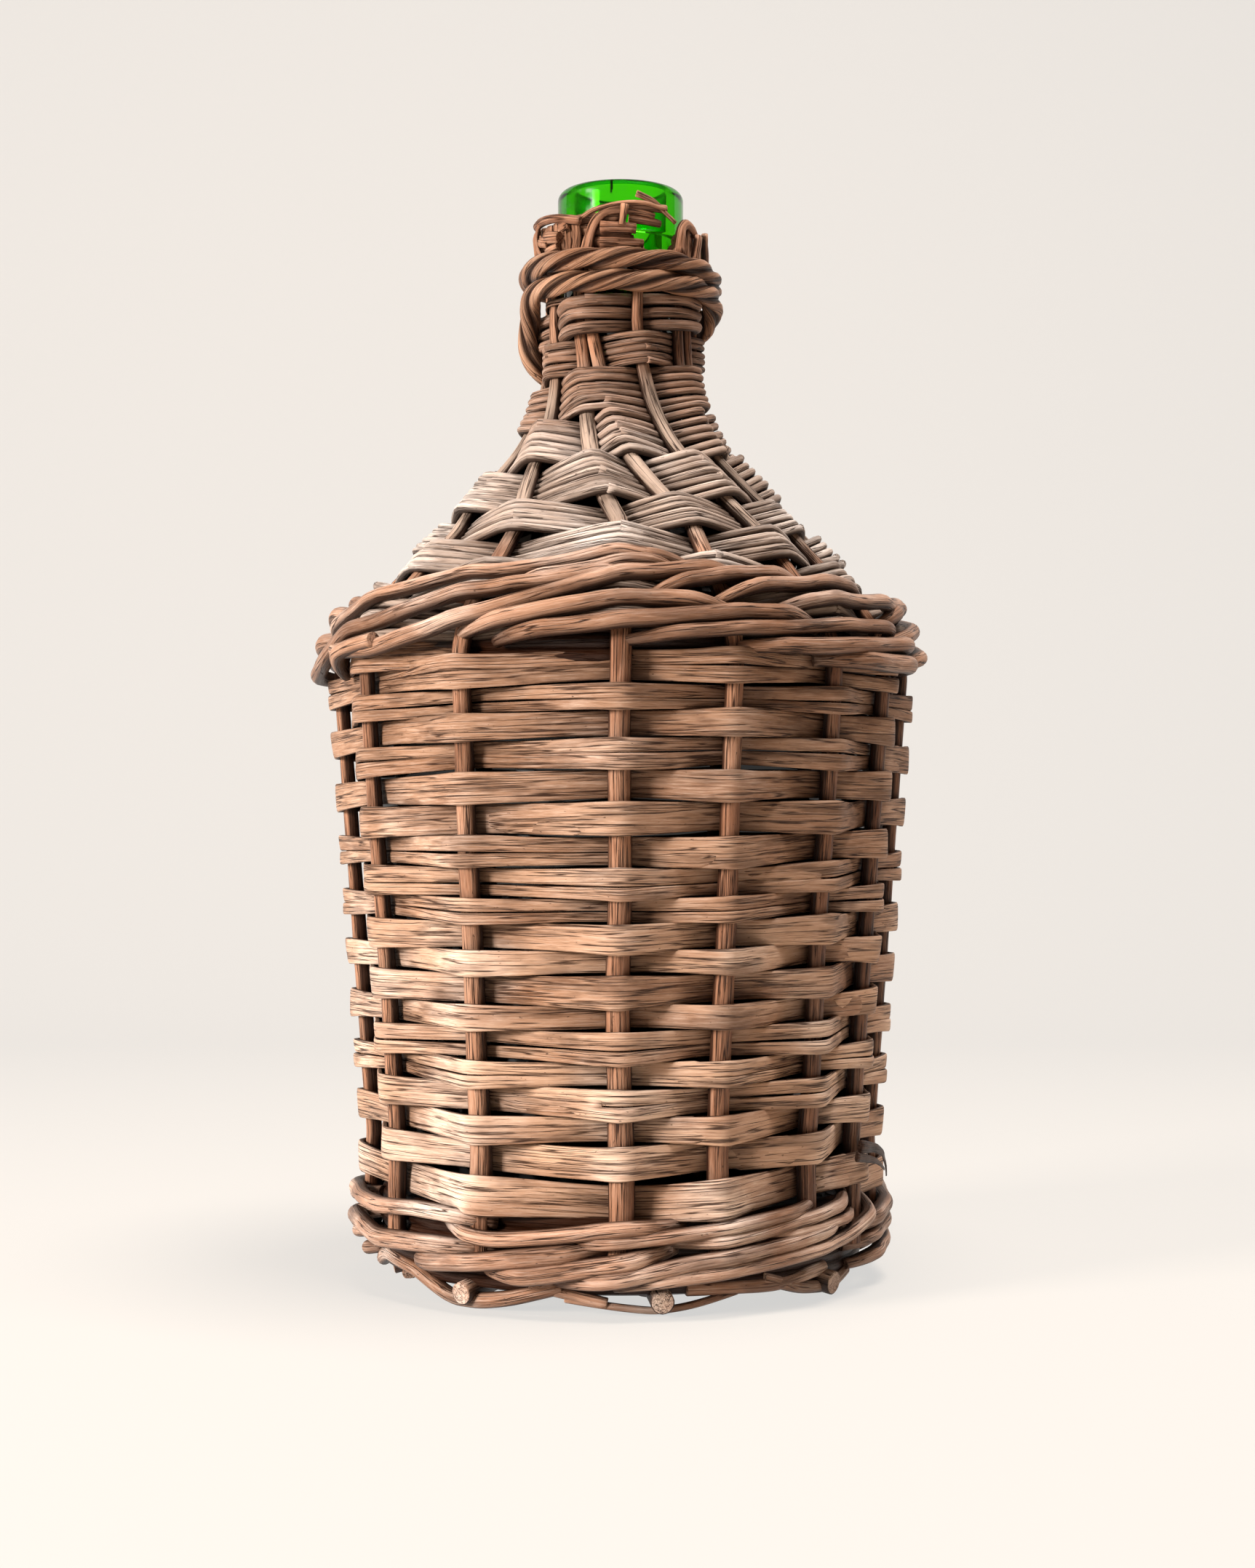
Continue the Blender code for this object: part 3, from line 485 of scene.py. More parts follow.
# Two thin rods hold the sticks together. They chase each other outwards in a spiral, over one
# stick and under the next, and carry the bottom of the glass.
BASE_WEAVER_RADIUS = 1.6 * MM
BASE_WEAVE_INNER = 34.0 * MM
BASE_WEAVE_OUTER = STICK_REACH - 12.0 * MM
BASE_ROD_SIDES = 8
POINT_SPACING = 2.0 * MM
NECK_AGE = ((GLASS_TOP - 105.0 * MM, GLASS_TOP - 66.0 * MM), (0.225, 0.108, 0.060, 1), 0.85, GLASS_TOP)

# The same rods cover the shoulder and neck, where they have turned brown towards the top.
grey_willow = make_willow("thin_grey_willow", (0.17, 0.108, 0.075, 1), (0.38, 0.275, 0.212, 1),
                          (0.66, 0.58, 0.52, 1), 0.80, 0.7, 0.58, 0.30 * MM, ROD_EDGE_SHADE, NECK_AGE)

stick_step = 2 * math.pi / STICK_ENDS
base_pitch = 4 * (BASE_WEAVER_RADIUS + CLEARANCE)
clear = STICK_RADIUS + CLEARANCE + BASE_WEAVER_RADIUS
for weaver in range(2):
    points = []
    for index in range(round((BASE_WEAVE_OUTER - BASE_WEAVE_INNER) / base_pitch * STICK_ENDS)):
        from_axis = BASE_WEAVE_INNER + base_pitch * (index / STICK_ENDS + weaver / 2)
        slant = math.asin(clear / (from_axis * math.sin(stick_step / 2)))
        rise = clear / math.cos(slant) * (1 if (index + weaver) % 2 else -1)
        points.append(polar(from_axis, STICK_AZIMUTH + stick_step * index, STICK_HEIGHT + rise))
    rod = bmesh.new()
    points = eased(divided(points, POINT_SPACING), 1)
    line = rod_line(points, BASE_WEAVER_RADIUS, seed=weaver, lumps=0.08)
    lay_rod(rod, line, BASE_ROD_SIDES, seed=20.0 + weaver)
    place_piece(f"base_rod_{weaver + 1}", rod, grey_willow, "grey_rod", f"base_weaver_{weaver + 1}")

# The foot is a worn rod that dips under each stick end and rises between them to the wale. At the
# front it is mended with shorter rods, thick and thin, whose cut ends show.
FOOT_RADIUS = STICK_REACH - 3.0 * MM
FOOT_BULGE = 4.5 * MM
FOOT_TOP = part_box("foot_border")[1].z - FOOT_ROD_RADIUS
FOOT_FLAT = 0.05 * MM
FOOT_START = 62.0
FOOT_STOP = 296.0
FOOT_SIDES = 14
MENDED_RADIUS = 81.0 * MM

# Here and in the wales a rod is its diameter in millimetres and its stops. A stop is degrees from
# the front towards +X, and a height in millimetres.
MENDED_RODS = ((5.0, (-84, 6), (-72, 11), (-54, 9), (-41, 2.3), (-33, 2.6), (-25, 4.4), (-13, 9)),
               (3.7, (-20, 9), (-12, 7), (-3, 4.2)),
               (2.4, (-12, 5.2), (-1, 3.1), (8, 1.6), (16, 3), (27, 6.5)),
               (4.6, (15, 8.2), (27, 7.8), (38, 7.2), (54, 10)),
               (4.4, (34, 9.5), (45, 5), (57, 3.2), (66, 6.5)))


def eased_stops(stops, radius, passes=8):
    """Places every few millimetres along stops of degrees and millimetres, at a radius."""
    flat = [Vector((math.radians(degrees) * radius, height * MM)) for degrees, height in stops]
    return [(place.x / radius, place.y) for place in eased(divided(flat, POINT_SPACING), passes)]


foot = bmesh.new()
dip = math.asin((STICK_RADIUS + FOOT_ROD_RADIUS) / FOOT_RADIUS)
points = []
for index in range(STICK_ENDS):
    azimuth = STICK_AZIMUTH + stick_step * (index + 0.5)
    for share, radius, height in ((0.5, FOOT_RADIUS, FOOT_ROD_HEIGHT),
                                  (1.0, FOOT_RADIUS + FOOT_BULGE, FOOT_TOP)):
        for side in (-1, 1):
            turned = azimuth + (share * stick_step + side * dip / 2)
            if math.radians(FOOT_START) < turned < math.radians(FOOT_STOP):
                points.append(polar(radius, turned, height))
points = eased(divided(points, POINT_SPACING), 4)
lay_rod(foot, rod_line(points, FOOT_ROD_RADIUS, seed=4.2, lumps=0.08), FOOT_SIDES, seed=31.0)
for index, (diameter, *stops) in enumerate(MENDED_RODS):
    points = [polar(MENDED_RADIUS, azimuth, height)
              for azimuth, height in eased_stops(stops, MENDED_RADIUS, 5)]
    line = rod_line(points, diameter / 2 * MM, seed=index * 2.3, lumps=0.10)
    lay_rod(foot, line, FOOT_SIDES, seed=32.0 + index)
for vert in foot.verts:
    vert.co.z = max(vert.co.z, FOOT_FLAT)
place_piece("bent_foot_rod", foot, pale_willow, "thick_rod", "foot_border")

# Fifteen stakes stand round the glass. They are willow rods with the bark on, pushed in unevenly
# at the foot, led up the body and shoulder, and folded over each other under the lip.
STAKE_DEGREES = (0.0, 21.5, 45.0, 64.0, 82.0, 105.0, 128.0, 152.0,
                 176.0, 200.0, 224.0, 249.0, 273.0, 301.0, 329.0)
STAKE_COUNT = len(STAKE_DEGREES)
STAKE_TOP_DEGREES = (-34.0, -24.0, 14.0, 50.0, 64.0, 98.0, 108.0, 136.0,
                     146.0, 174.0, 184.0, 212.0, 222.0, 258.0, 296.0)
LEAN_LOW = 250.0 * MM
LEAN_HIGH = 322.0 * MM
STAKE_FOOT_RADIUS = 2.75 * MM
STAKE_TIP_RADIUS = 1.7 * MM
STAKE_TIP_RUN = 45.0 * MM
STAKE_BULK = (1.55, 1.36, 1.30, 1.22, 1.16, 1.24, 1.14, 1.26, 1.16, 1.24, 1.14, 1.22, 1.16, 1.22, 1.38)
STAKE_BEND = 30.0 * MM
HEEL_SLACK = 2.6 * MM
STAKE_FLARE_HEIGHT = 33.0 * MM
STAKE_FLARE_FILLET = 20.0 * MM
STAKE_NECK_FILLET = 60.0 * MM
STAKE_NECK_SLACK = 0.6 * MM
STRIP_THICKNESS = 2.0 * MM
BAND_LOW_RADIUS = 2.05 * MM
BAND_HIGH_RADIUS = 1.2 * MM
BOTTOM_WALE_RADIUS = 2.9 * MM
SHOULDER_WALE_RADIUS = 3.75 * MM
WALE_STACK = 0.65
BOTTOM_WALE_COUNT = 6
SHOULDER_WALE_RISE = 7.0 * MM
ROPE_DROP = 32.2 * MM
STAKE_TOP_RISE = 8.15 * MM
LEAST_UNEVENNESS = 0.3
LEAN_EASE = 0.25
STAKE_SPACING = 2.5 * MM
STAKE_FLATNESS = 0.9
STAKE_SIDES = 12
STEP = 2 * math.pi / STAKE_COUNT
FOLD_RISE = 6.0 * MM
FOLD_FALL = 1.5 * MM
FOLD_TURN = 0.95
FOLD_OUT_BY = 0.7
STAKE_EDGE_SHADE = 0.60

STAKE_AZIMUTHS = [math.radians(degrees) for degrees in STAKE_DEGREES]
SPANS = [after - before for before, after in
         zip(STAKE_AZIMUTHS, STAKE_AZIMUTHS[1:] + [STAKE_AZIMUTHS[0] + 2 * math.pi])]
bottom_boxes = [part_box(f"bottom_wale_rod_{rod}") for rod in range(1, BOTTOM_WALE_COUNT + 1)]
bottom_low = min(box[0].z for box in bottom_boxes)
bottom_high = max(box[1].z for box in bottom_boxes)
shoulder_wale_centre = shoulder_corner[1] + SHOULDER_WALE_RISE
rope_height_mean = GLASS_TOP - ROPE_DROP


def wale_half_height(radius):
    """Half the height of a wale of rods of a radius, which lie partly over each other."""
    return 2 * WALE_STACK * radius + radius


def room_inside(glass_radius, stake_radius, weaver_radius, spans):
    """Distance from the glass to the middle of a stake that leaves room for a weaver between."""
    clear = stake_radius + CLEARANCE + weaver_radius
    rooms = []
    for span in spans:
        spacing = 2 * (glass_radius + clear) * math.sin(span / 2)
        slant = math.asin(2 * clear / spacing) - span / 2
        gap = (glass_radius + CLEARANCE) / math.cos(min(slant, 0.0)) - glass_radius
        rooms.append(gap + (clear + weaver_radius) / math.cos(slant))
    return max(rooms)


def crossing(point_a, slope_a, point_b, slope_b):
    """Where two lines meet, each a point and its change of radius for a unit of height."""
    apart = point_b[0] - point_a[0] + slope_a * point_a[1] - slope_b * point_b[1]
    height = apart / (slope_a - slope_b)
    return point_a[0] + slope_a * (height - point_a[1]), height


def make_stake_line():
    """The line that every stake follows, from the foot up to the fold of the border."""
    taper = (BODY_RADIUS_HIGH - BODY_RADIUS_LOW) / SHOULDER_HEIGHT
    slope = -math.tan(SHOULDER_SLOPE)
    inside_height = bottom_high - wale_half_height(BOTTOM_WALE_RADIUS) + BOTTOM_WALE_RADIUS
    glass_there = glass_outline.at(glass_outline.length_at(inside_height))[0].x
    foot_x = glass_there + HEEL_SLACK + 2 * BOTTOM_WALE_RADIUS + 2 * CLEARANCE + STAKE_FOOT_RADIUS
    strip_room = room_inside(BODY_RADIUS_LOW, STAKE_FOOT_RADIUS, STRIP_THICKNESS / 2, SPANS)
    cone = (BODY_RADIUS_LOW + strip_room / math.cos(math.atan(taper)), GLASS_BASE)
    cone_start = (cone[0] + taper * STAKE_FLARE_HEIGHT, cone[1] + STAKE_FLARE_HEIGHT)
    band_room = room_inside(BODY_RADIUS_HIGH, STAKE_FOOT_RADIUS, BAND_LOW_RADIUS, SPANS)
    neck_room = room_inside(NECK_RADIUS, STAKE_TIP_RADIUS, BAND_HIGH_RADIUS, [STEP])
    slope_low = (BODY_RADIUS_HIGH + band_room / math.cos(SHOULDER_SLOPE), shoulder_corner[1])
    bend_room = (neck_room + STAKE_NECK_SLACK) / math.cos(SHOULDER_SLOPE)
    slope_high = (BODY_RADIUS_HIGH + bend_room, shoulder_corner[1])
    shoulder = crossing(cone, taper, slope_low, slope)
    neck = crossing(slope_high, slope, (NECK_RADIUS + neck_room, 0.0), 0.0)
    top = (neck[0], rope_height_mean + STAKE_TOP_RISE)
    return Outline([(foot_x, bottom_low), (foot_x, bottom_high), cone_start, shoulder, neck, top],
                   [STAKE_FLARE_FILLET, STAKE_FLARE_FILLET, STAKE_BEND, STAKE_NECK_FILLET],
                   arc_steps=20)


stake_line = make_stake_line()
stake_length = stake_line.lengths[-1]
lean_low = stake_line.length_at(LEAN_LOW)
lean_high = stake_line.length_at(LEAN_HIGH)


def stake_radius(length):
    """A stake tapers evenly from its foot to its tip."""
    return STAKE_FOOT_RADIUS + (STAKE_TIP_RADIUS - STAKE_FOOT_RADIUS) * length / stake_length


def stake_girth(stake, length):
    """Half the real thickness of a stake, which no two have alike. The tips are evener."""
    unevenness = min(1.0, max(LEAST_UNEVENNESS, (stake_length - length) / STAKE_TIP_RUN))
    return stake_radius(length) * (1 + (STAKE_BULK[stake % STAKE_COUNT] - 1) * unevenness)


def stake_azimuth(stake, length):
    """Where a stake stands. Above the shoulder it leans over to its place on the neck."""
    lap, place = divmod(stake, STAKE_COUNT)
    share = min(max((length - lean_low) / (lean_high - lean_low), 0.0), 1.0)
    leaning = share * (1 - LEAN_EASE + LEAN_EASE * share * (3 - 2 * share))
    top = math.radians(STAKE_TOP_DEGREES[place])
    return 2 * math.pi * lap + STAKE_AZIMUTHS[place] + (top - STAKE_AZIMUTHS[place]) * leaning


def weave_offsets(stake, length, half_thickness):
    """Distances from the stake line to a weaver's middle, in front of and behind a stake."""
    point, outward = stake_line.at(length)
    clear = stake_radius(length) + CLEARANCE + half_thickness
    azimuths = [stake_azimuth(stake + side, length) for side in (-1, 0, 1)]
    front = []
    behind = []
    for span in (azimuths[1] - azimuths[0], azimuths[2] - azimuths[1]):
        slant = math.asin(clear / (point.x * math.sin(span / 2)))
        turn = span / 2 * outward.x
        front.append(clear / math.cos(slant + turn))
        behind.append(clear / math.cos(slant - turn))
    return max(front), -max(behind)


def casing_point(length, azimuth, offset):
    """A place on the casing, at an offset square to the stake line."""
    point, outward = stake_line.at(length)
    place = point + outward * offset
    return polar(place.x, azimuth, place.y)


def casing_outward(length, azimuth):
    """The direction square to the casing there."""
    outward = stake_line.at(length)[1]
    return polar(outward.x, azimuth, outward.y)


def lay_twig(shape, radius, stops, thick, tip, seed, flatness, worn_and_shaded):
    """A bent end of a rod, along stops of degrees and millimetres at a radius from the axis."""
    places = eased_stops(stops, radius, 4)
    line = []
    for index, (azimuth, height) in enumerate(places):
        share = index / (len(places) - 1)
        wide = (thick + (tip - thick) * share) / 2 * MM * (1 + wander(index * 0.4, 0.14, seed))
        out = radius + wander(index * 0.3, 0.5 * MM, seed + 4.0)
        line.append((polar(out, azimuth, height), polar(1.0, azimuth, 0.0), wide * flatness, wide, worn_and_shaded))
    lay_rod(shape, line, STAKE_SIDES, seed=seed)


BORDER_INNER_RADIUS = 25.2 * MM
FOLD_STEPS = 12
STAKE_HIDDEN_STEPS = 3

# For the stakes whose ends are seen: the radius of each end, its stops, and how wide it is first
# and last. The ends inside the inner radius fill the border from behind.
BORDER_TWIGS = {
    15: ((29.5, (-76, 358), (-61, 358.6), (-43, 357.5), (-27, 355.5), 3.4, 3.0),
         (29.8, (-66, 358), (-73, 354.6), (-72, 349.4), (-60, 345), 1.9, 1.7),
         (26.0, (-74, 341), (-71, 357), 6.2, 5.0), (25.5, (-62, 341), (-63, 357), 6.4, 5.2),
         (27.0, (-86, 341), (-80, 355.5), 5.2, 4.0), (28.5, (-70, 352), (-58, 350.5), 4.2, 3.4),
         (25.0, (-88, 344), (-40, 344), 5.0, 4.6), (25.0, (-86, 348.4), (-38, 348), 5.0, 4.6),
         (25.0, (-84, 352.8), (-38, 352), 5.0, 4.6), (25.0, (-80, 356), (-36, 356), 4.0, 3.6)),
    1: ((27.5, (-34, 357.5), (-31, 352), (-33, 345), 3.3, 3.1),
        (28.5, (-60, 352.5), (-46, 351.5), 4.6, 3.8),
        (28.8, (-58, 347.5), (-47, 348.5), 3.2, 3.0), (25.5, (-50, 341), (-52, 357), 6.4, 5.2),
        (25.0, (-39, 341), (-42, 357), 6.2, 5.0), (28.6, (-44, 354.6), (-37, 355.4), 3.4, 3.0)),
    2: ((24.6, (-42, 345.4), (6, 345), 4.8, 4.4), (24.6, (-42, 349.4), (10, 349), 4.8, 4.4),
        (24.6, (-40, 353.4), (9, 353), 4.8, 4.4), (24.6, (-38, 357), (0, 357.4), 4.0, 3.4),
        (27.0, (-25, 345), (-21, 353.7), (-14, 358.4), (-3, 359.4), (25, 357.6), 4.3, 1.9),
        (28.0, (-31, 356), (-19, 359.2), (-6, 360.7), (17, 361.6), (32, 359.8), 1.9, 1.7)),
    3: ((29.0, (3, 360.4), (1, 353.5), 2.8, 2.4), (28.0, (11, 364.3), (23, 362.4), (41, 356), 2.4, 1.6),
        (26.0, (6, 360.2), (36, 360.6), 3.3, 3.0), (26.0, (6, 356.4), (31, 355.4), 3.2, 2.8),
        (27.0, (-14, 353.4), (11, 352.8), 4.2, 3.8), (26.0, (-15, 348.8), (17, 348.3), 3.4, 3.0)),
    4: ((28.0, (45, 346), (45, 353), (49, 356.8), (58, 356.5), (66, 354), 4.8, 2.6),),
    5: ((29.0, (60, 344), (65, 353.5), 3.6, 3.2), (29.0, (92, 346.5), (80, 356), 3.6, 3.0),
        (26.5, (55, 341), (56, 355), 5.6, 4.2), (26.5, (75, 341), (73, 354), 5.6, 4.4),
        (25.5, (65, 341), (64, 354), 5.2, 4.4), (24.8, (42, 342.6), (88, 342.6), 5.0, 4.6),
        (24.8, (44, 347), (88, 347), 5.0, 4.6), (24.8, (48, 351), (86, 351), 4.6, 4.0))}

STAKE_AGE = ((GLASS_TOP - 135.0 * MM, GLASS_TOP - 118.0 * MM), (0.30, 0.222, 0.170, 1), 0.90,
             GLASS_TOP - 76.0 * MM)

barked_willow = make_willow("barked_red_willow", (0.13, 0.046, 0.021, 1), (0.33, 0.153, 0.084, 1),
                            (0.58, 0.39, 0.28, 1), 0.45, 1.0, 0.48, 0.35 * MM, STAKE_EDGE_SHADE, STAKE_AGE)

folds = random.Random(7)
for stake in range(STAKE_COUNT):
    line = []
    steps = round(stake_length / STAKE_SPACING)
    for step in range(STAKE_HIDDEN_STEPS, steps + 1):
        length = stake_length * step / steps
        lean = wander(length / (60 * MM), 1.1 * MM, stake * 3.3) / stake_line.at(length)[0].x
        azimuth = stake_azimuth(stake, length) + lean
        thick = stake_girth(stake, length) * (1 + wander(length / (14 * MM), 0.07, stake))
        wear_and_shade = wander(length / (30 * MM), 0.7, stake + 9.0)
        line.append((casing_point(length, azimuth, 0.0), casing_outward(length, azimuth),
                     thick * STAKE_FLATNESS, thick, wear_and_shade))
    shape = bmesh.new()
    top = stake_line.points[-1]
    azimuth = stake_azimuth(stake, stake_length)
    reach = STEP * folds.uniform(0.9, 1.6)
    rise = FOLD_RISE * folds.uniform(0.9, 1.9)
    if stake + 1 not in BORDER_TWIGS:
        for step in range(1, FOLD_STEPS + 1):
            share = step / FOLD_STEPS
            out = 2 * (STAKE_TIP_RADIUS + CLEARANCE) * min(1.0, share / FOLD_OUT_BY) ** 2
            height = top.y + rise * math.sin(math.pi * (share * FOLD_TURN)) - FOLD_FALL * share
            place = polar(top.x + out, azimuth + reach * share, height)
            thick = STAKE_TIP_RADIUS * (1.15 - 0.25 * share)
            line.append((place, polar(1.0, azimuth + reach * share, 0.4), thick, thick * 1.15, 0.1))
    lay_rod(shape, line, STAKE_SIDES, seed=40.0 + stake * 2.7)
    for index, (radius, *stops, thick, tip) in enumerate(BORDER_TWIGS.get(stake + 1, ())):
        # Painted shade on the ends inside the inner radius, which fill the border from behind; the outer
        # ends are a little rubbed.
        worn_and_shaded = 0.25 if radius * MM > BORDER_INNER_RADIUS else -0.6
        lay_twig(shape, radius * MM, stops, thick, tip, 70.0 + stake * 5.1 + index * 1.3, 0.8, worn_and_shaded)
    place_piece(f"barked_stake_{stake + 1:02d}", shape, barked_willow, "barked_rod",
                f"stake_{stake + 1:02d}")

# The bottom wale locks the stakes at the foot. Thick rods lie close over each other, out over a few
# stakes and in again, so that long slanting rods climb to the right all the way round.
ROD_LIFT = 1.0 * MM
ROD_SLIMNESS = 0.94
ROD_TUCK = 17.0 * MM
TUCK_DEPTH = 8.0 * MM
TUCK_THINNING = 0.28
ROD_SIDES = 16
STAKE_HALO = math.radians(4.0)
BOTTOM_ROD_OUT = 4.6 * MM
BOTTOM_RODS = ((5.8, (-106, 28), (-90, 30), (-78, 30), (-64, 29.2), (-47, 31), (-37, 30.7), (-28, 28)),
               (5.4, (-42, 27), (-26, 23.8), (-13, 26), (0, 29), (14, 29)),
               (6.8, (-102, 17), (-88, 20.5), (-73, 21), (-60, 19), (-40, 20.8), (-28, 20)),
               (6.8, (-52, 13.5), (-33, 16), (-16, 19.6), (-2, 22)),
               (5.0, (-13, 23), (3, 25), (22, 28), (48, 33)),
               (5.0, (10, 23), (24, 24.3), (43, 29), (62, 33.2)),
               (4.2, (28, 23.2), (46, 25.6), (65, 27.3)),
               (6.7, (-30, 13.4), (-20, 12.7), (-7, 16.4), (12, 21.3)),
               (5.8, (-14, 10.8), (0, 13), (14, 17.6), (38, 21.6), (59, 27.3)),
               (5.4, (-1, 9.6), (10, 13), (30, 15.8), (56, 20.6), (74, 30.5)))
BOTTOM_BACK_STARTS = range(12, 273, 26)
BOTTOM_CLIMB = (9.0, 33.0, 100.0)
BOTTOM_BACK_DIAMETER = 5.9
BACK_FIRST = 62.0
BOTTOM_BACK_LAST = 281.0
FRAYED_ENDS = ((92.0, (58, 49), (67, 47), (74, 42.5), (76, 36), 4.4, 1.2),
               (92.5, (56, 46), (66, 43), (72, 39), 3.4, 1.0))
BACKING_HEIGHTS = (9.0, 13.0, 17.0, 21.0, 25.0, 29.0)
BACKING_RADIUS = 2.7 * MM
BACKING_OFFSET = -BACKING_RADIUS - STAKE_FOOT_RADIUS
BACKING_STEP = 4
BACKING_SIDES = 8
# Painted shade: the rods behind the stakes are darkened almost to black.
BACKING_PAINTED_SHADE = -1.2


def over_stakes(azimuth, length):
    """1 where an azimuth is over a stake, and 0 between the stakes."""
    away = [(azimuth - stake_azimuth(stake, length) + math.pi) % (2 * math.pi) - math.pi
            for stake in range(STAKE_COUNT)]
    return math.exp(-(min(abs(turn) for turn in away) / STAKE_HALO) ** 2)


def from_end(index, count):
    """How many places an index is from the nearer end of a row."""
    return min(index, count - 1 - index)


def lay_long_rod(shape, diameter, stops, offset, seed, cut_end=False):
    """A thick rod out over the stakes along its stops, with its ends tucked in behind them."""
    places = eased_stops(stops, shoulder_corner[0])
    step = shoulder_corner[0] * abs(places[1][0] - places[0][0])
    line = []
    for index, (azimuth, height) in enumerate(places):
        length = stake_line.length_at(max(height, bottom_low))
        left = (index if cut_end else from_end(index, len(places))) * step
        tucked = max(0.0, 1 - left / ROD_TUCK) ** 1.4
        lift = ROD_LIFT * over_stakes(azimuth, length)
        out = offset + lift - TUCK_DEPTH * tucked + wander(index * 0.13, 0.6 * MM, seed)
        plump = 1 + wander(index * 0.11, 0.09, seed + 3.0)
        half = diameter / 2 * MM * (ROD_SLIMNESS - TUCK_THINNING * tucked) * plump
        # Paler where the rod is rubbed over a stake, and painted shade where its ends tuck in behind the
        # stakes.
        wear_and_shade = 0.35 * lift / ROD_LIFT - 0.9 * tucked + wander(index * 0.06, 0.5, seed + 5.0)
        outward = casing_outward(length, azimuth)
        line.append((casing_point(length, azimuth, out), outward, half, half, wear_and_shade))
    lay_rod(shape, line, ROD_SIDES, seed=seed)


def lay_backing(shape, heights, seed):
    """Rods behind the stakes, which close the gaps between the rods in front and are darkened as painted
    shade.
    """
    for index, height in enumerate(heights):
        length = stake_line.length_at(height * MM)
        points = [casing_point(length, math.radians(degrees), BACKING_OFFSET)
                  for degrees in range(0, 360, BACKING_STEP)]
        line = rod_line(points + points[:1], BACKING_RADIUS, seed=seed + index, worn_and_shaded=BACKING_PAINTED_SHADE)
        lay_rod(shape, line, BACKING_SIDES, seed=seed + index)


def back_rods(starts, low, high, turn, diameter, first, last):
    """The same climb again and again round the sides and back, between the rods of the front."""
    rods = []
    for index, start in enumerate(starts):
        stops = []
        for degrees in (start, start + turn / 3, start + 2 * turn / 3, start + turn):
            degrees = min(max(degrees, first), last)
            climbed = (degrees - start) / turn
            stops.append((degrees, low + (high - low) * climbed + wander(index + climbed, 1.2, 6.0)))
        kept = [stops[0]] + [after for before, after in zip(stops, stops[1:]) if after[0] > before[0]]
        rods.append((diameter * (1 + wander(index * 0.7, 0.2, 3.0)), *kept))
    return rods


bottom_rods = BOTTOM_RODS + tuple(back_rods(BOTTOM_BACK_STARTS, *BOTTOM_CLIMB, BOTTOM_BACK_DIAMETER,
                                            BACK_FIRST, BOTTOM_BACK_LAST))
for rod in range(BOTTOM_WALE_COUNT):
    shape = bmesh.new()
    for index, (diameter, *stops) in enumerate(bottom_rods):
        if index % BOTTOM_WALE_COUNT == rod:
            lay_long_rod(shape, diameter, stops, BOTTOM_ROD_OUT, 11.0 + index * 3.7)
    for radius, *stops, thick, tip in FRAYED_ENDS[rod:rod + 1]:
        lay_twig(shape, radius * MM, stops, thick, tip, 140.0 + rod, 0.4, -1.1)
    lay_backing(shape, (BACKING_HEIGHTS[rod],), 150.0 + rod)
    place_piece(f"bottom_wale_rods_{rod + 1}", shape, pale_willow, "thick_rod",
                f"bottom_wale_rod_{rod + 1}")

# The body is woven in nineteen rows of flat strips, split from thick willow and shaved. A strip
# passes in front of one stake and behind the next, and a new one starts behind a stake. A short
# strip at each end of the weave fills the gap that the rise of the spiral leaves.
STRIP_ROWS = 19
SPAN_POINTS = 16
ROW_EDGES = (25.5, 41.5, 53.2, 61.7, 71.3, 78.8, 89.7, 96.3, 107.4, 113.6,
             122.7, 129.2, 139.5, 149.7, 161.0, 171.4, 181.9, 190.1, 197.4, 209.8)
FRONT_SPREAD = math.radians(70.0)
STRIP_LAPS = (4, 8)
SHORTEST_STRIP = 5
OVERLAP = 0.42
PAIR_CHANCE = 0.22
PAIR_SHARE = (0.42, 0.56)
PAIR_GAP = 0.04
STRIP_LIFT = 0.4 * MM
STRIP_SIDES = 14
STRIP_EDGE_SHADE = 0.42
FIRST_LEAD = 5
LAST_LEAD = 6
BODY_AGE = ((GLASS_TOP - 310.0 * MM, GLASS_TOP - 165.0 * MM), (0.165, 0.072, 0.034, 1), 0.66, GLASS_TOP)

strip_willow = make_willow("split_willow", (0.22, 0.100, 0.050, 1), (0.50, 0.300, 0.190, 1),
                           (0.80, 0.61, 0.49, 1), 0.95, 1.0, 0.54, 0.30 * MM, STRIP_EDGE_SHADE, BODY_AGE)


def blended(here, after, share):
    """Numbers part of the way from one row of them to another."""
    return [low + (high - low) * share for low, high in zip(here, after)]


def flat_section(turn, along):
    """A flat section with rounded edges and a slightly crowned face."""
    out, side = math.cos(turn), math.sin(turn)
    return math.copysign(abs(out) ** 0.42, out), math.copysign(abs(side) ** 0.5, side)


strip_start = stake_line.length_at(bottom_high) + CLEARANCE
shoulder_wale = stake_line.length_at(shoulder_wale_centre)
strip_end = shoulder_wale - wale_half_height(SHOULDER_WALE_RADIUS) - CLEARANCE
pitch = (strip_end - strip_start) / (STRIP_ROWS + 1)


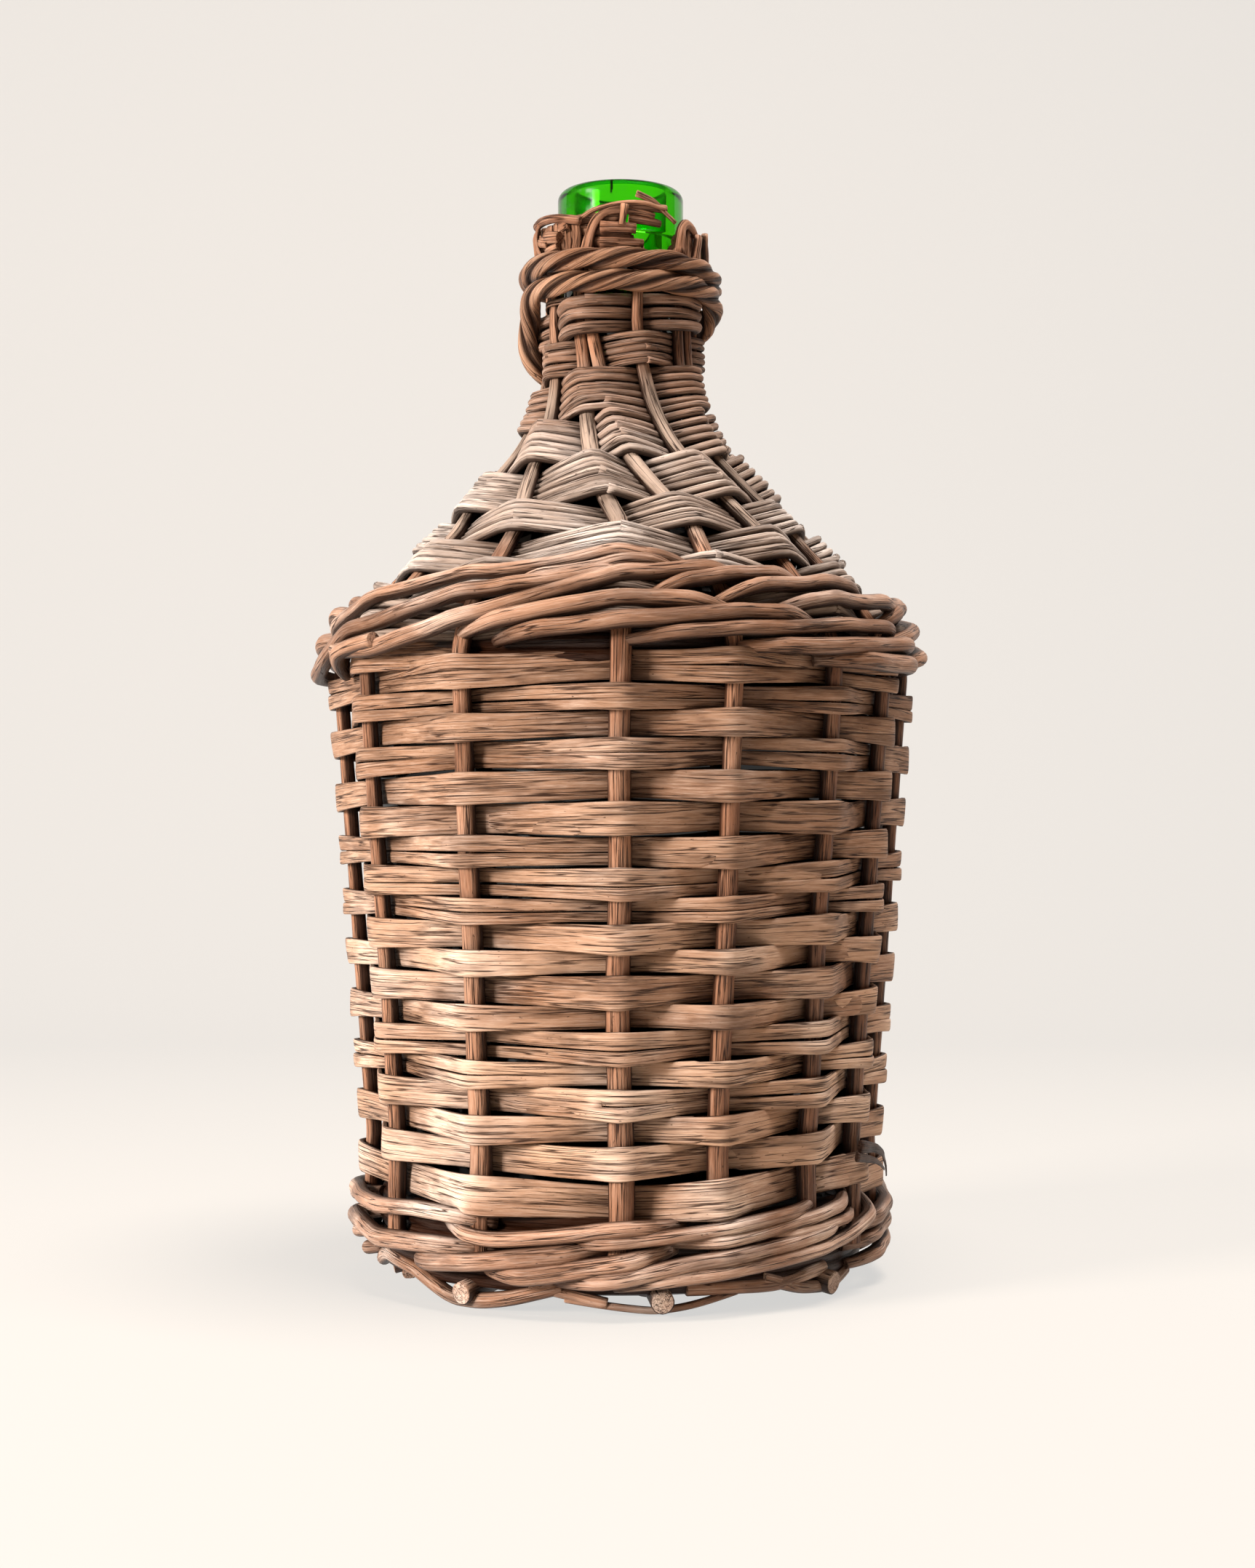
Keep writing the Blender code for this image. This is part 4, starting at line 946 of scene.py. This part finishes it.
def strip_place(index):
    """Length up the stakes, azimuth, offset and half width of the strip at a crossing."""
    stake = STAKE_COUNT // 2 + 1 + index
    row = index / STAKE_COUNT
    base = strip_start + pitch * (0.5 + row)
    azimuth = stake_azimuth(stake, base)
    from_front = (azimuth + math.pi) % (2 * math.pi) - math.pi
    near = math.exp(-(from_front / FRONT_SPREAD) ** 2)
    whole = min(int(row), STRIP_ROWS - 1)
    low, high = ROW_EDGES[whole] * MM, ROW_EDGES[whole + 1] * MM
    wanted = stake_line.length_at((low + high) / 2)
    seen = pitch * (row - whole - 0.5)
    stray = wander(index * 0.61, 0.8 * MM, 3.0)
    length = base + near * (wanted + seen * 0.6 - base) * 0.8 + stray
    width = pitch * (1 - near) + (0.5 * pitch + 0.5 * (high - low)) * near
    front, behind = weave_offsets(stake, length, STRIP_THICKNESS / 2)
    bulk = (STAKE_BULK[stake % STAKE_COUNT] - 1) * STAKE_FOOT_RADIUS
    offset = behind - max(0.0, bulk) * 0.5 if index % 2 else front + max(0.0, bulk) + STRIP_LIFT
    return length, azimuth, offset, width / 2


def lay_strip(shape, first, last, seed, share=1.0, side=0.0):
    """One strip from a crossing to another. Share and side make it a narrow one of a pair."""
    places = [strip_place(index) for index in range(first, last + 1)]
    points = []
    details = []
    for index, (here, after) in enumerate(zip(places, places[1:])):
        for step in range(SPAN_POINTS):
            mix = step / SPAN_POINTS
            points.append(casing_point(*here[:3]).lerp(casing_point(*after[:3]), mix))
            length, azimuth, _, width = blended(here, after, mix)
            front = 1 - mix if (first + index) % 2 == 0 else mix
            details.append((length, azimuth, width, front))
    skip = round(SPAN_POINTS * (0.5 - OVERLAP))
    points = eased(points, 3)[skip:len(points) - skip]
    details = details[skip:len(details) - skip]
    line = []
    up = Vector((0, 0, 1))
    for index, (point, (length, azimuth, width, front)) in enumerate(zip(points, details)):
        outward = casing_outward(length, azimuth)
        ragged = min(1.0, 0.55 + 0.16 * from_end(index, len(points)))
        half = width * (0.93 + 0.20 * front ** 2) * ragged
        half *= 1 + wander(index * 0.11, 0.09, seed)
        drift = wander(index * 0.07, 0.55 * MM, seed + 5.0)
        roll = wander(index * 0.09, 0.16, seed + 8.0)
        place = point + up * (drift + side * half) + outward * wander(index * 0.2, 0.18 * MM, seed + 2.0)
        thick = STRIP_THICKNESS / 2 * (1 + wander(index * 0.13, 0.18, seed + 3.0)) * ragged ** 0.5
        # Paler where the strip crosses in front of a stake, and painted shade where it goes behind one.
        wear_and_tuck_shade = 0.85 * front ** 2 - 0.75 * (1 - front) ** 3
        line.append((place, outward + up * roll, thick, half * share, wear_and_tuck_shade * 0.8))
    lay_rod(shape, line, STRIP_SIDES, seed=seed, section=flat_section)


strips = bmesh.new()
chance = random.Random(21)
start = 0
last_crossing = STRIP_ROWS * STAKE_COUNT
while start < last_crossing:
    stop = start + 2 * chance.randint(*STRIP_LAPS)
    if stop > last_crossing - SHORTEST_STRIP:
        stop = last_crossing
    seed = 60.0 + start * 1.7
    if chance.random() < PAIR_CHANCE or stop == last_crossing:
        share = chance.uniform(*PAIR_SHARE)
        lay_strip(strips, start - 1, stop, seed, share, 1 - share)
        lay_strip(strips, start - 1, stop, seed + 0.9, 1 - PAIR_GAP - share, -share - PAIR_GAP / 2)
    else:
        lay_strip(strips, start - 1, stop, seed)
    start = stop
lay_strip(strips, -FIRST_LEAD, 0, 58.0)
lay_strip(strips, last_crossing - 1, last_crossing + LAST_LEAD, 59.0)
place_piece("split_strips", strips, strip_willow, "split_strip", "body_weaver")

# The shoulder wale is the widest place of the casing. Its thick rods are twined round the stakes
# where they bend inwards, climb to the right over each other and hold the body weave down.
SHOULDER_WALE_COUNT = 3
SHOULDER_ROD_OUT = 6.6 * MM
SHOULDER_RODS = ((6.7, (40, 205.7), (58, 205.3), (78, 205.7)),
                 (5.8, (21, 208.3), (36, 208), (52, 209.5), (79, 212)),
                 (5.1, (0, 209.5), (14, 211), (40, 213.6), (55, 215), (70, 215)),
                 (6.0, (-24, 210.7), (-6, 212.6), (14, 215.3), (30, 216.6), (42, 216)),
                 (6.2, (-32, 212.4), (-16, 215.8), (-3, 218.8), (10, 219.6), (23, 218.2)),
                 (6.0, (-76, 212.5), (-64, 209), (-51, 208.5), (-36, 212.6), (-18, 219.3), (0, 225.8),
                  (16, 228.9), (28, 227.8)),
                 (5.8, (-100, 203.5), (-86, 204.5), (-72, 207.5), (-62, 213.5), (-47, 217.2),
                  (-30, 222), (-12, 224.6), (6, 230)),
                 (5.4, (3, 222), (16, 225.2), (32, 228.4), (44, 227)),
                 (5.4, (16, 220), (30, 224), (50, 226.4), (64, 224.8)),
                 (5.6, (28, 218.7), (46, 221.2), (70, 222), (92, 221.8)),
                 (5.2, (-84, 214), (-66, 219.5), (-53, 224), (-36, 227.2), (-20, 228.6),
                  (-2, 233.6), (18, 232.4)),
                 (4.8, (-26, 224.5), (-10, 227.8), (4, 231), (16, 231)))
BROKEN_ROD = (5.4, (-70, 203), (-62, 206.9), (-54, 209.6), (-49, 210.3))
BROKEN_ROD_OUT = 8.8 * MM
SHOULDER_BACK_STARTS = range(14, 247, 29)
SHOULDER_CLIMB = (206.5, 228.0, 90.0)
SHOULDER_BACK_DIAMETER = 6.2
SHOULDER_BACK_LAST = 286.0
SHOULDER_BACKING = (206.0, 211.5, 217.0, 222.5, 228.0)

brown_willow = make_willow("thick_brown_willow", (0.14, 0.056, 0.024, 1), (0.33, 0.172, 0.102, 1),
                           (0.65, 0.50, 0.41, 1), 0.85, 0.6, 0.44, 0.40 * MM, ROD_EDGE_SHADE)

shoulder_rods = SHOULDER_RODS + tuple(back_rods(SHOULDER_BACK_STARTS, *SHOULDER_CLIMB,
                                                SHOULDER_BACK_DIAMETER, BACK_FIRST, SHOULDER_BACK_LAST))
for rod in range(SHOULDER_WALE_COUNT):
    shape = bmesh.new()
    for index, (diameter, *stops) in enumerate(shoulder_rods):
        if index % SHOULDER_WALE_COUNT == rod:
            lay_long_rod(shape, diameter, stops, SHOULDER_ROD_OUT, 17.0 + index * 2.9)
    lay_backing(shape, SHOULDER_BACKING[rod::SHOULDER_WALE_COUNT], 160.0 + rod)
    if rod == 0:
        lay_long_rod(shape, BROKEN_ROD[0], BROKEN_ROD[1:], BROKEN_ROD_OUT, 19.0, cut_end=True)
    place_piece(f"shoulder_wale_rods_{rod + 1}", shape, brown_willow, "thick_rod",
                f"shoulder_wale_rod_{rod + 1}")

# Thin rods cover the shoulder and neck in rows that climb as a spiral. The rods of a row cross a
# stake side by side as one block, and high on the neck they cross the stakes in pairs.
NECK_EDGES = (212.0, 226.0, 236.0, 246.6, 257.5, 273.5, 290.5, 306.8, 318.4, 332.0)
NECK_RODS = (4, 4, 5, 6, 7, 6, 6, 5, 3, 3)
SINGLE_ROWS = 6
STAKE_UNITS = (0, 0, 1, 2, 2, 3, 3, 4, 4, 5, 5, 6, 6, 7, 8)
UNIT_COUNT = 9
BACK_STAKE = 9
LAST_ROW_STOP = 1
NECK_PIECES = 4
NECK_SPAN_POINTS = 8
SETTLE_PASSES = 3
SHORTEST_RUN = 4
BREAK_CHANCE = 0.34
NECK_ROD_LIMIT = BAND_LOW_RADIUS * 1.3
CREST_LIFT = 0.5 * MM
NECK_ROD_DEPTH = 1.1
NECK_ROD_WIDTH = 0.96
NECK_ROD_SIDES = 10

neck_edges = [stake_line.length_at(height * MM) for height in NECK_EDGES]


def neck_edge(turn):
    """Length up the stakes of the edge between two rows, a number of turns up the spiral."""
    place = min(max(turn, 0.0), len(neck_edges) - 1.0001)
    row = int(place)
    return neck_edges[row] + (neck_edges[row + 1] - neck_edges[row]) * (place - row)


def neck_crossing(row, stake, rod):
    """Length, azimuth and half width of a rod at a stake, if it is in front, and the stake's girth."""
    count = NECK_RODS[row]
    length = neck_edge(row + 0.5)
    for _ in range(SETTLE_PASSES):
        azimuth = stake_azimuth(stake, length)
        turn = row + azimuth / (2 * math.pi)
        low, high = neck_edge(turn), neck_edge(turn + 1)
        length = low + (high - low) * (rod + 0.5) / count
    lap, place = divmod(stake, STAKE_COUNT)
    unit = stake if row < SINGLE_ROWS else UNIT_COUNT * lap + STAKE_UNITS[place]
    half = (high - low) / count / 2
    return length, azimuth + 2 * math.pi * row, half, (unit + row) % 2 == 0, stake_girth(stake, length)


def row_stakes(row):
    """The stakes that a row crosses, from the back round to the back. The last ends at the front."""
    return range(BACK_STAKE - STAKE_COUNT, BACK_STAKE if row < len(NECK_RODS) - 1 else LAST_ROW_STOP)


for piece in range(NECK_PIECES):
    shape = bmesh.new()
    for rod in range(piece, max(NECK_RODS), NECK_PIECES):
        crossings = [neck_crossing(row, stake, rod) for row, count in enumerate(NECK_RODS)
                     if rod < count for stake in row_stakes(row)]
        chance = random.Random(90 + rod)
        runs = []
        start = 0
        for index, (_, _, _, in_front, _) in enumerate(crossings):
            if not in_front and index - start >= SHORTEST_RUN and chance.random() < BREAK_CHANCE:
                runs.append(crossings[max(start - 1, 0):index + 1])
                start = index
        runs.append(crossings[max(start - 1, 0):])
        for number, run in enumerate(runs):
            seed = 200.0 + rod * 31 + number * 2.3
            plump = chance.uniform(0.92, 1.04)
            places = []
            for here, after in zip(run, run[1:]):
                for step in range(NECK_SPAN_POINTS):
                    mix = step / NECK_SPAN_POINTS
                    length, azimuth, half, crest, girth = blended(here, after, mix)
                    half = min(half, NECK_ROD_LIMIT) * plump
                    clear = girth * STAKE_FLATNESS + half
                    out = clear * (2 * crest - 1) + CREST_LIFT * crest
                    places.append((length, azimuth, half, crest, out))
            middles = eased([casing_point(length, azimuth, out)
                             for length, azimuth, _, _, out in places], 1)
            line = []
            for index, (middle, (length, azimuth, half, crest, _)) in enumerate(zip(middles, places)):
                half *= 1 + wander(index * 0.17, 0.12, seed)
                middle = middle + Vector((0, 0, wander(index * 0.09, 0.7 * MM, seed + 2.0)))
                # Paler where a rod crosses in front of a stake, and painted shade where it passes behind
                # one.
                wear_and_shade = 0.75 * crest ** 3 - 0.8 * (1 - crest) ** 2
                line.append((middle, casing_outward(length, azimuth), half * NECK_ROD_DEPTH,
                             half * NECK_ROD_WIDTH, wear_and_shade))
            lay_rod(shape, line, NECK_ROD_SIDES, seed=seed)
    place_piece(f"thin_neck_rods_{piece + 1}", shape, grey_willow, "grey_rod",
                f"neck_weaver_{piece + 1}")

# Two ropes go round the neck, each of three willow rods twisted until their fibres part. The
# upper one is a ring, and the lower ones hang in front and behind with their ends in the weave.
STRAND_RADIUS = 2.1 * MM
STRAND_OFFSET = 1.7 * MM
STRANDS = 3
STRAND_RIDGES = 7
STRAND_SPACING = 1.4 * MM
STRAND_SIDES = 28
ROPE_LAY = 46.0 * MM
ROPE_AXIS_RADIUS = 31.6 * MM
UPPER_ROPE = ((-180, 339), (-135, 340.5), (-90, 341.6), (-62, 342.6), (-40, 342.8), (-20, 342),
              (21, 341.8), (43, 341.5), (67, 340.5), (90, 338.6), (135, 338), (180, 339))
LOWER_ROPE_FRONT = ((-99, 306), (-93, 314), (-88, 322), (-80, 330), (-72, 333.2), (-57, 334.6),
                    (-40, 334.8), (0, 334.7), (43, 334.8), (67, 334.4), (84, 333), (94, 328), (103, 320))
LOWER_ROPE_BACK = ((97, 323), (110, 330), (140, 331.5), (180, 332.5), (215, 332), (245, 328), (264, 314))
ROPE_TUCK_RUN = 16.0 * MM
ROPE_TUCK_DEPTH = 6.0 * MM
ROPE_END_SHARE = 0.45

rope_willow = make_willow("twisted_warm_willow", (0.12, 0.044, 0.019, 1), (0.31, 0.150, 0.080, 1),
                          (0.62, 0.43, 0.31, 1), 0.45, 1.0, 0.44, 0.40 * MM, ROD_EDGE_SHADE)


def strand_section(turn, along):
    """A strand whose fibres stand apart in ridges."""
    ridge = abs(math.cos(STRAND_RIDGES / 2 * turn + 0.6 * math.sin(along / (5 * MM))))
    radius = 0.91 + 0.10 * ridge ** 0.5
    return radius * math.cos(turn), radius * math.sin(turn)


def lay_rope(name, node, stops, seed):
    """Twists the strands round the rope's middle line."""
    shape = bmesh.new()
    places = eased_stops(stops, ROPE_AXIS_RADIUS, 6)
    whole = stops[-1][0] - stops[0][0] >= 360
    points = []
    for index, (azimuth, height) in enumerate(places):
        left = POINT_SPACING * from_end(index, len(places)) / ROPE_TUCK_RUN
        tucked = 0.0 if whole else max(0.0, 1 - left) ** 2
        points.append(polar(ROPE_AXIS_RADIUS - ROPE_TUCK_DEPTH * tucked, azimuth, height))
    middles = divided(points, STRAND_SPACING)
    shares = [1.0] * len(middles)
    if not whole:
        runs = [STRAND_SPACING * from_end(index, len(middles)) for index in range(len(middles))]
        shares = [min(1.0, ROPE_END_SHARE + run / ROPE_TUCK_RUN) for run in runs]
    for strand in range(STRANDS):
        line = []
        along = 0.0
        for index, middle in enumerate(middles):
            before = middles[max(index - 1, 0)]
            ahead = (middles[min(index + 1, len(middles) - 1)] - before).normalized()
            out = Vector((middle.x, middle.y, 0)).normalized()
            up = out.cross(ahead).normalized()
            along += (middle - before).length
            turn = 2 * math.pi * (along / ROPE_LAY + strand / STRANDS)
            turn += wander(along / (40 * MM), 0.5, seed)
            spoke = out * math.cos(turn) + up * math.sin(turn)
            thick = STRAND_RADIUS * shares[index] * (1 + wander(along / (18 * MM), 0.12, seed + strand))
            # Painted shade on the rope's inner side, against the neck; the strands are paler on its
            # outer side.
            wear_and_shade = 0.5 * math.cos(turn) + wander(along / (20 * MM), 0.5, seed + strand + 3.0)
            line.append((middle + spoke * STRAND_OFFSET * shares[index], spoke, thick, thick, wear_and_shade))
        lay_rod(shape, line, STRAND_SIDES, seed=seed + strand * 1.7, section=strand_section)
    place_piece(name, shape, rope_willow, "twisted_rod", node)


lay_rope("twisted_upper_rope", "neck_rope_upper", UPPER_ROPE, 300.0)
lay_rope("twisted_lower_rope_front", "neck_rope_lower_front", LOWER_ROPE_FRONT, 320.0)
lay_rope("twisted_lower_rope_back", "neck_rope_lower_back", LOWER_ROPE_BACK, 330.0)

# The casing stands on a plain pale sweep, in soft studio light from the front left, seen from
# the height and distance of the photograph.
SWEEP_BACK = 1.6
SWEEP_BEND = 0.7
SWEEP_HEIGHT = 2.6
SWEEP_FRONT = -2.4
SWEEP_HALF_WIDTH = 3.0
GLOW_SHARE = 0.70
WORLD_LIGHT = 0.10
CAMERA_DISTANCE = 0.85
CAMERA_HEIGHT = 0.1515
CAMERA_RIGHT = 0.0024
CAMERA_LENS = 56.6
HORIZON_ROW = 1143
PHOTO_ROWS = 2156
BACKDROP = (0.92, 0.91, 0.89, 1.0)
LAMP_AIM = Vector((0, 0, 0.17))

sweep = bmesh.new()
outline = Outline([(SWEEP_FRONT, 0.0), (SWEEP_BACK, 0.0), (SWEEP_BACK, SWEEP_HEIGHT)], [SWEEP_BEND],
                  arc_steps=16)
low = [sweep.verts.new((-SWEEP_HALF_WIDTH, point.x, point.y)) for point in outline.points]
run = [sweep.edges.new(pair) for pair in zip(low, low[1:])]
pulled = bmesh.ops.extrude_edge_only(sweep, edges=run)["geom"]
bmesh.ops.translate(sweep, verts=[part for part in pulled if isinstance(part, bmesh.types.BMVert)],
                    vec=(2 * SWEEP_HALF_WIDTH, 0, 0))
bmesh.ops.recalc_face_normals(sweep, faces=sweep.faces)
for face in sweep.faces:
    face.smooth = True
mesh = bpy.data.meshes.new("pale_sweep")
sweep.to_mesh(mesh)
sweep.free()
paper, wire, shader = new_material("pale_paper")
shader.inputs["Base Color"].default_value = (0.50, 0.42, 0.34, 1.0)
shader.inputs["Roughness"].default_value = 0.9
path = paper.node_tree.nodes.new("ShaderNodeLightPath")
rays = [Wire(wire.tree, path.outputs[f"Is {kind} Ray"]) for kind in ("Camera", "Glossy", "Transmission")]
seen = wire.maths("MAXIMUM", wire.maths("MAXIMUM", rays[0], rays[1]), rays[2])
glow = wire.node("ShaderNodeEmission", None, {"Color": BACKDROP, "Strength": 1.0})
shown = wire.node("ShaderNodeMixShader", None,
                  {0: seen * GLOW_SHARE, 1: Wire(wire.tree, shader.outputs[0]), 2: glow})
shown.into(paper.node_tree.nodes["Material Output"], "Surface")
mesh.materials.append(paper)
floor = into_scene("pale_sweep", mesh)

world = bpy.data.worlds.new("studio")
world.use_nodes = True
background = world.node_tree.nodes["Background"]
wire = Wire(world.node_tree)
in_sight = wire.node("ShaderNodeLightPath", output="Is Camera Ray")
wire.mix((1.0, 0.78, 0.60, 1.0), BACKDROP, in_sight).into(background, "Color")
(in_sight * (1 - WORLD_LIGHT) + WORLD_LIGHT).into(background, "Strength")
bpy.context.scene.world = world

for name, place, size, power, colour in (("key", (-1.50, -0.95, 0.56), 0.5, 76.0, (1.0, 0.98, 0.96)),
                                         ("top", (0.26, -0.20, 1.50), 0.7, 42.0, (1.0, 1.0, 1.0)),
                                         ("fill", (1.5, -1.0, 0.5), 1.2, 1.5, (1.0, 0.60, 0.32))):
    light = bpy.data.lights.new(name, "AREA")
    light.color = colour
    light.size = size
    light.energy = power
    lamp = into_scene(name, light)
    lamp.location = place
    lamp.visible_glossy = False
    lamp.rotation_euler = (LAMP_AIM - lamp.location).to_track_quat("-Z", "Y").to_euler()

lens = bpy.data.cameras.new("photograph")
lens.lens = CAMERA_LENS
lens.shift_y = (HORIZON_ROW - PHOTO_ROWS / 2) / PHOTO_ROWS
camera = into_scene("photograph", lens)
camera.location = (CAMERA_RIGHT, -CAMERA_DISTANCE, CAMERA_HEIGHT)
camera.rotation_euler = (math.pi / 2, 0, 0)
bpy.context.scene.camera = camera
bpy.context.scene.view_settings.view_transform = "Standard"
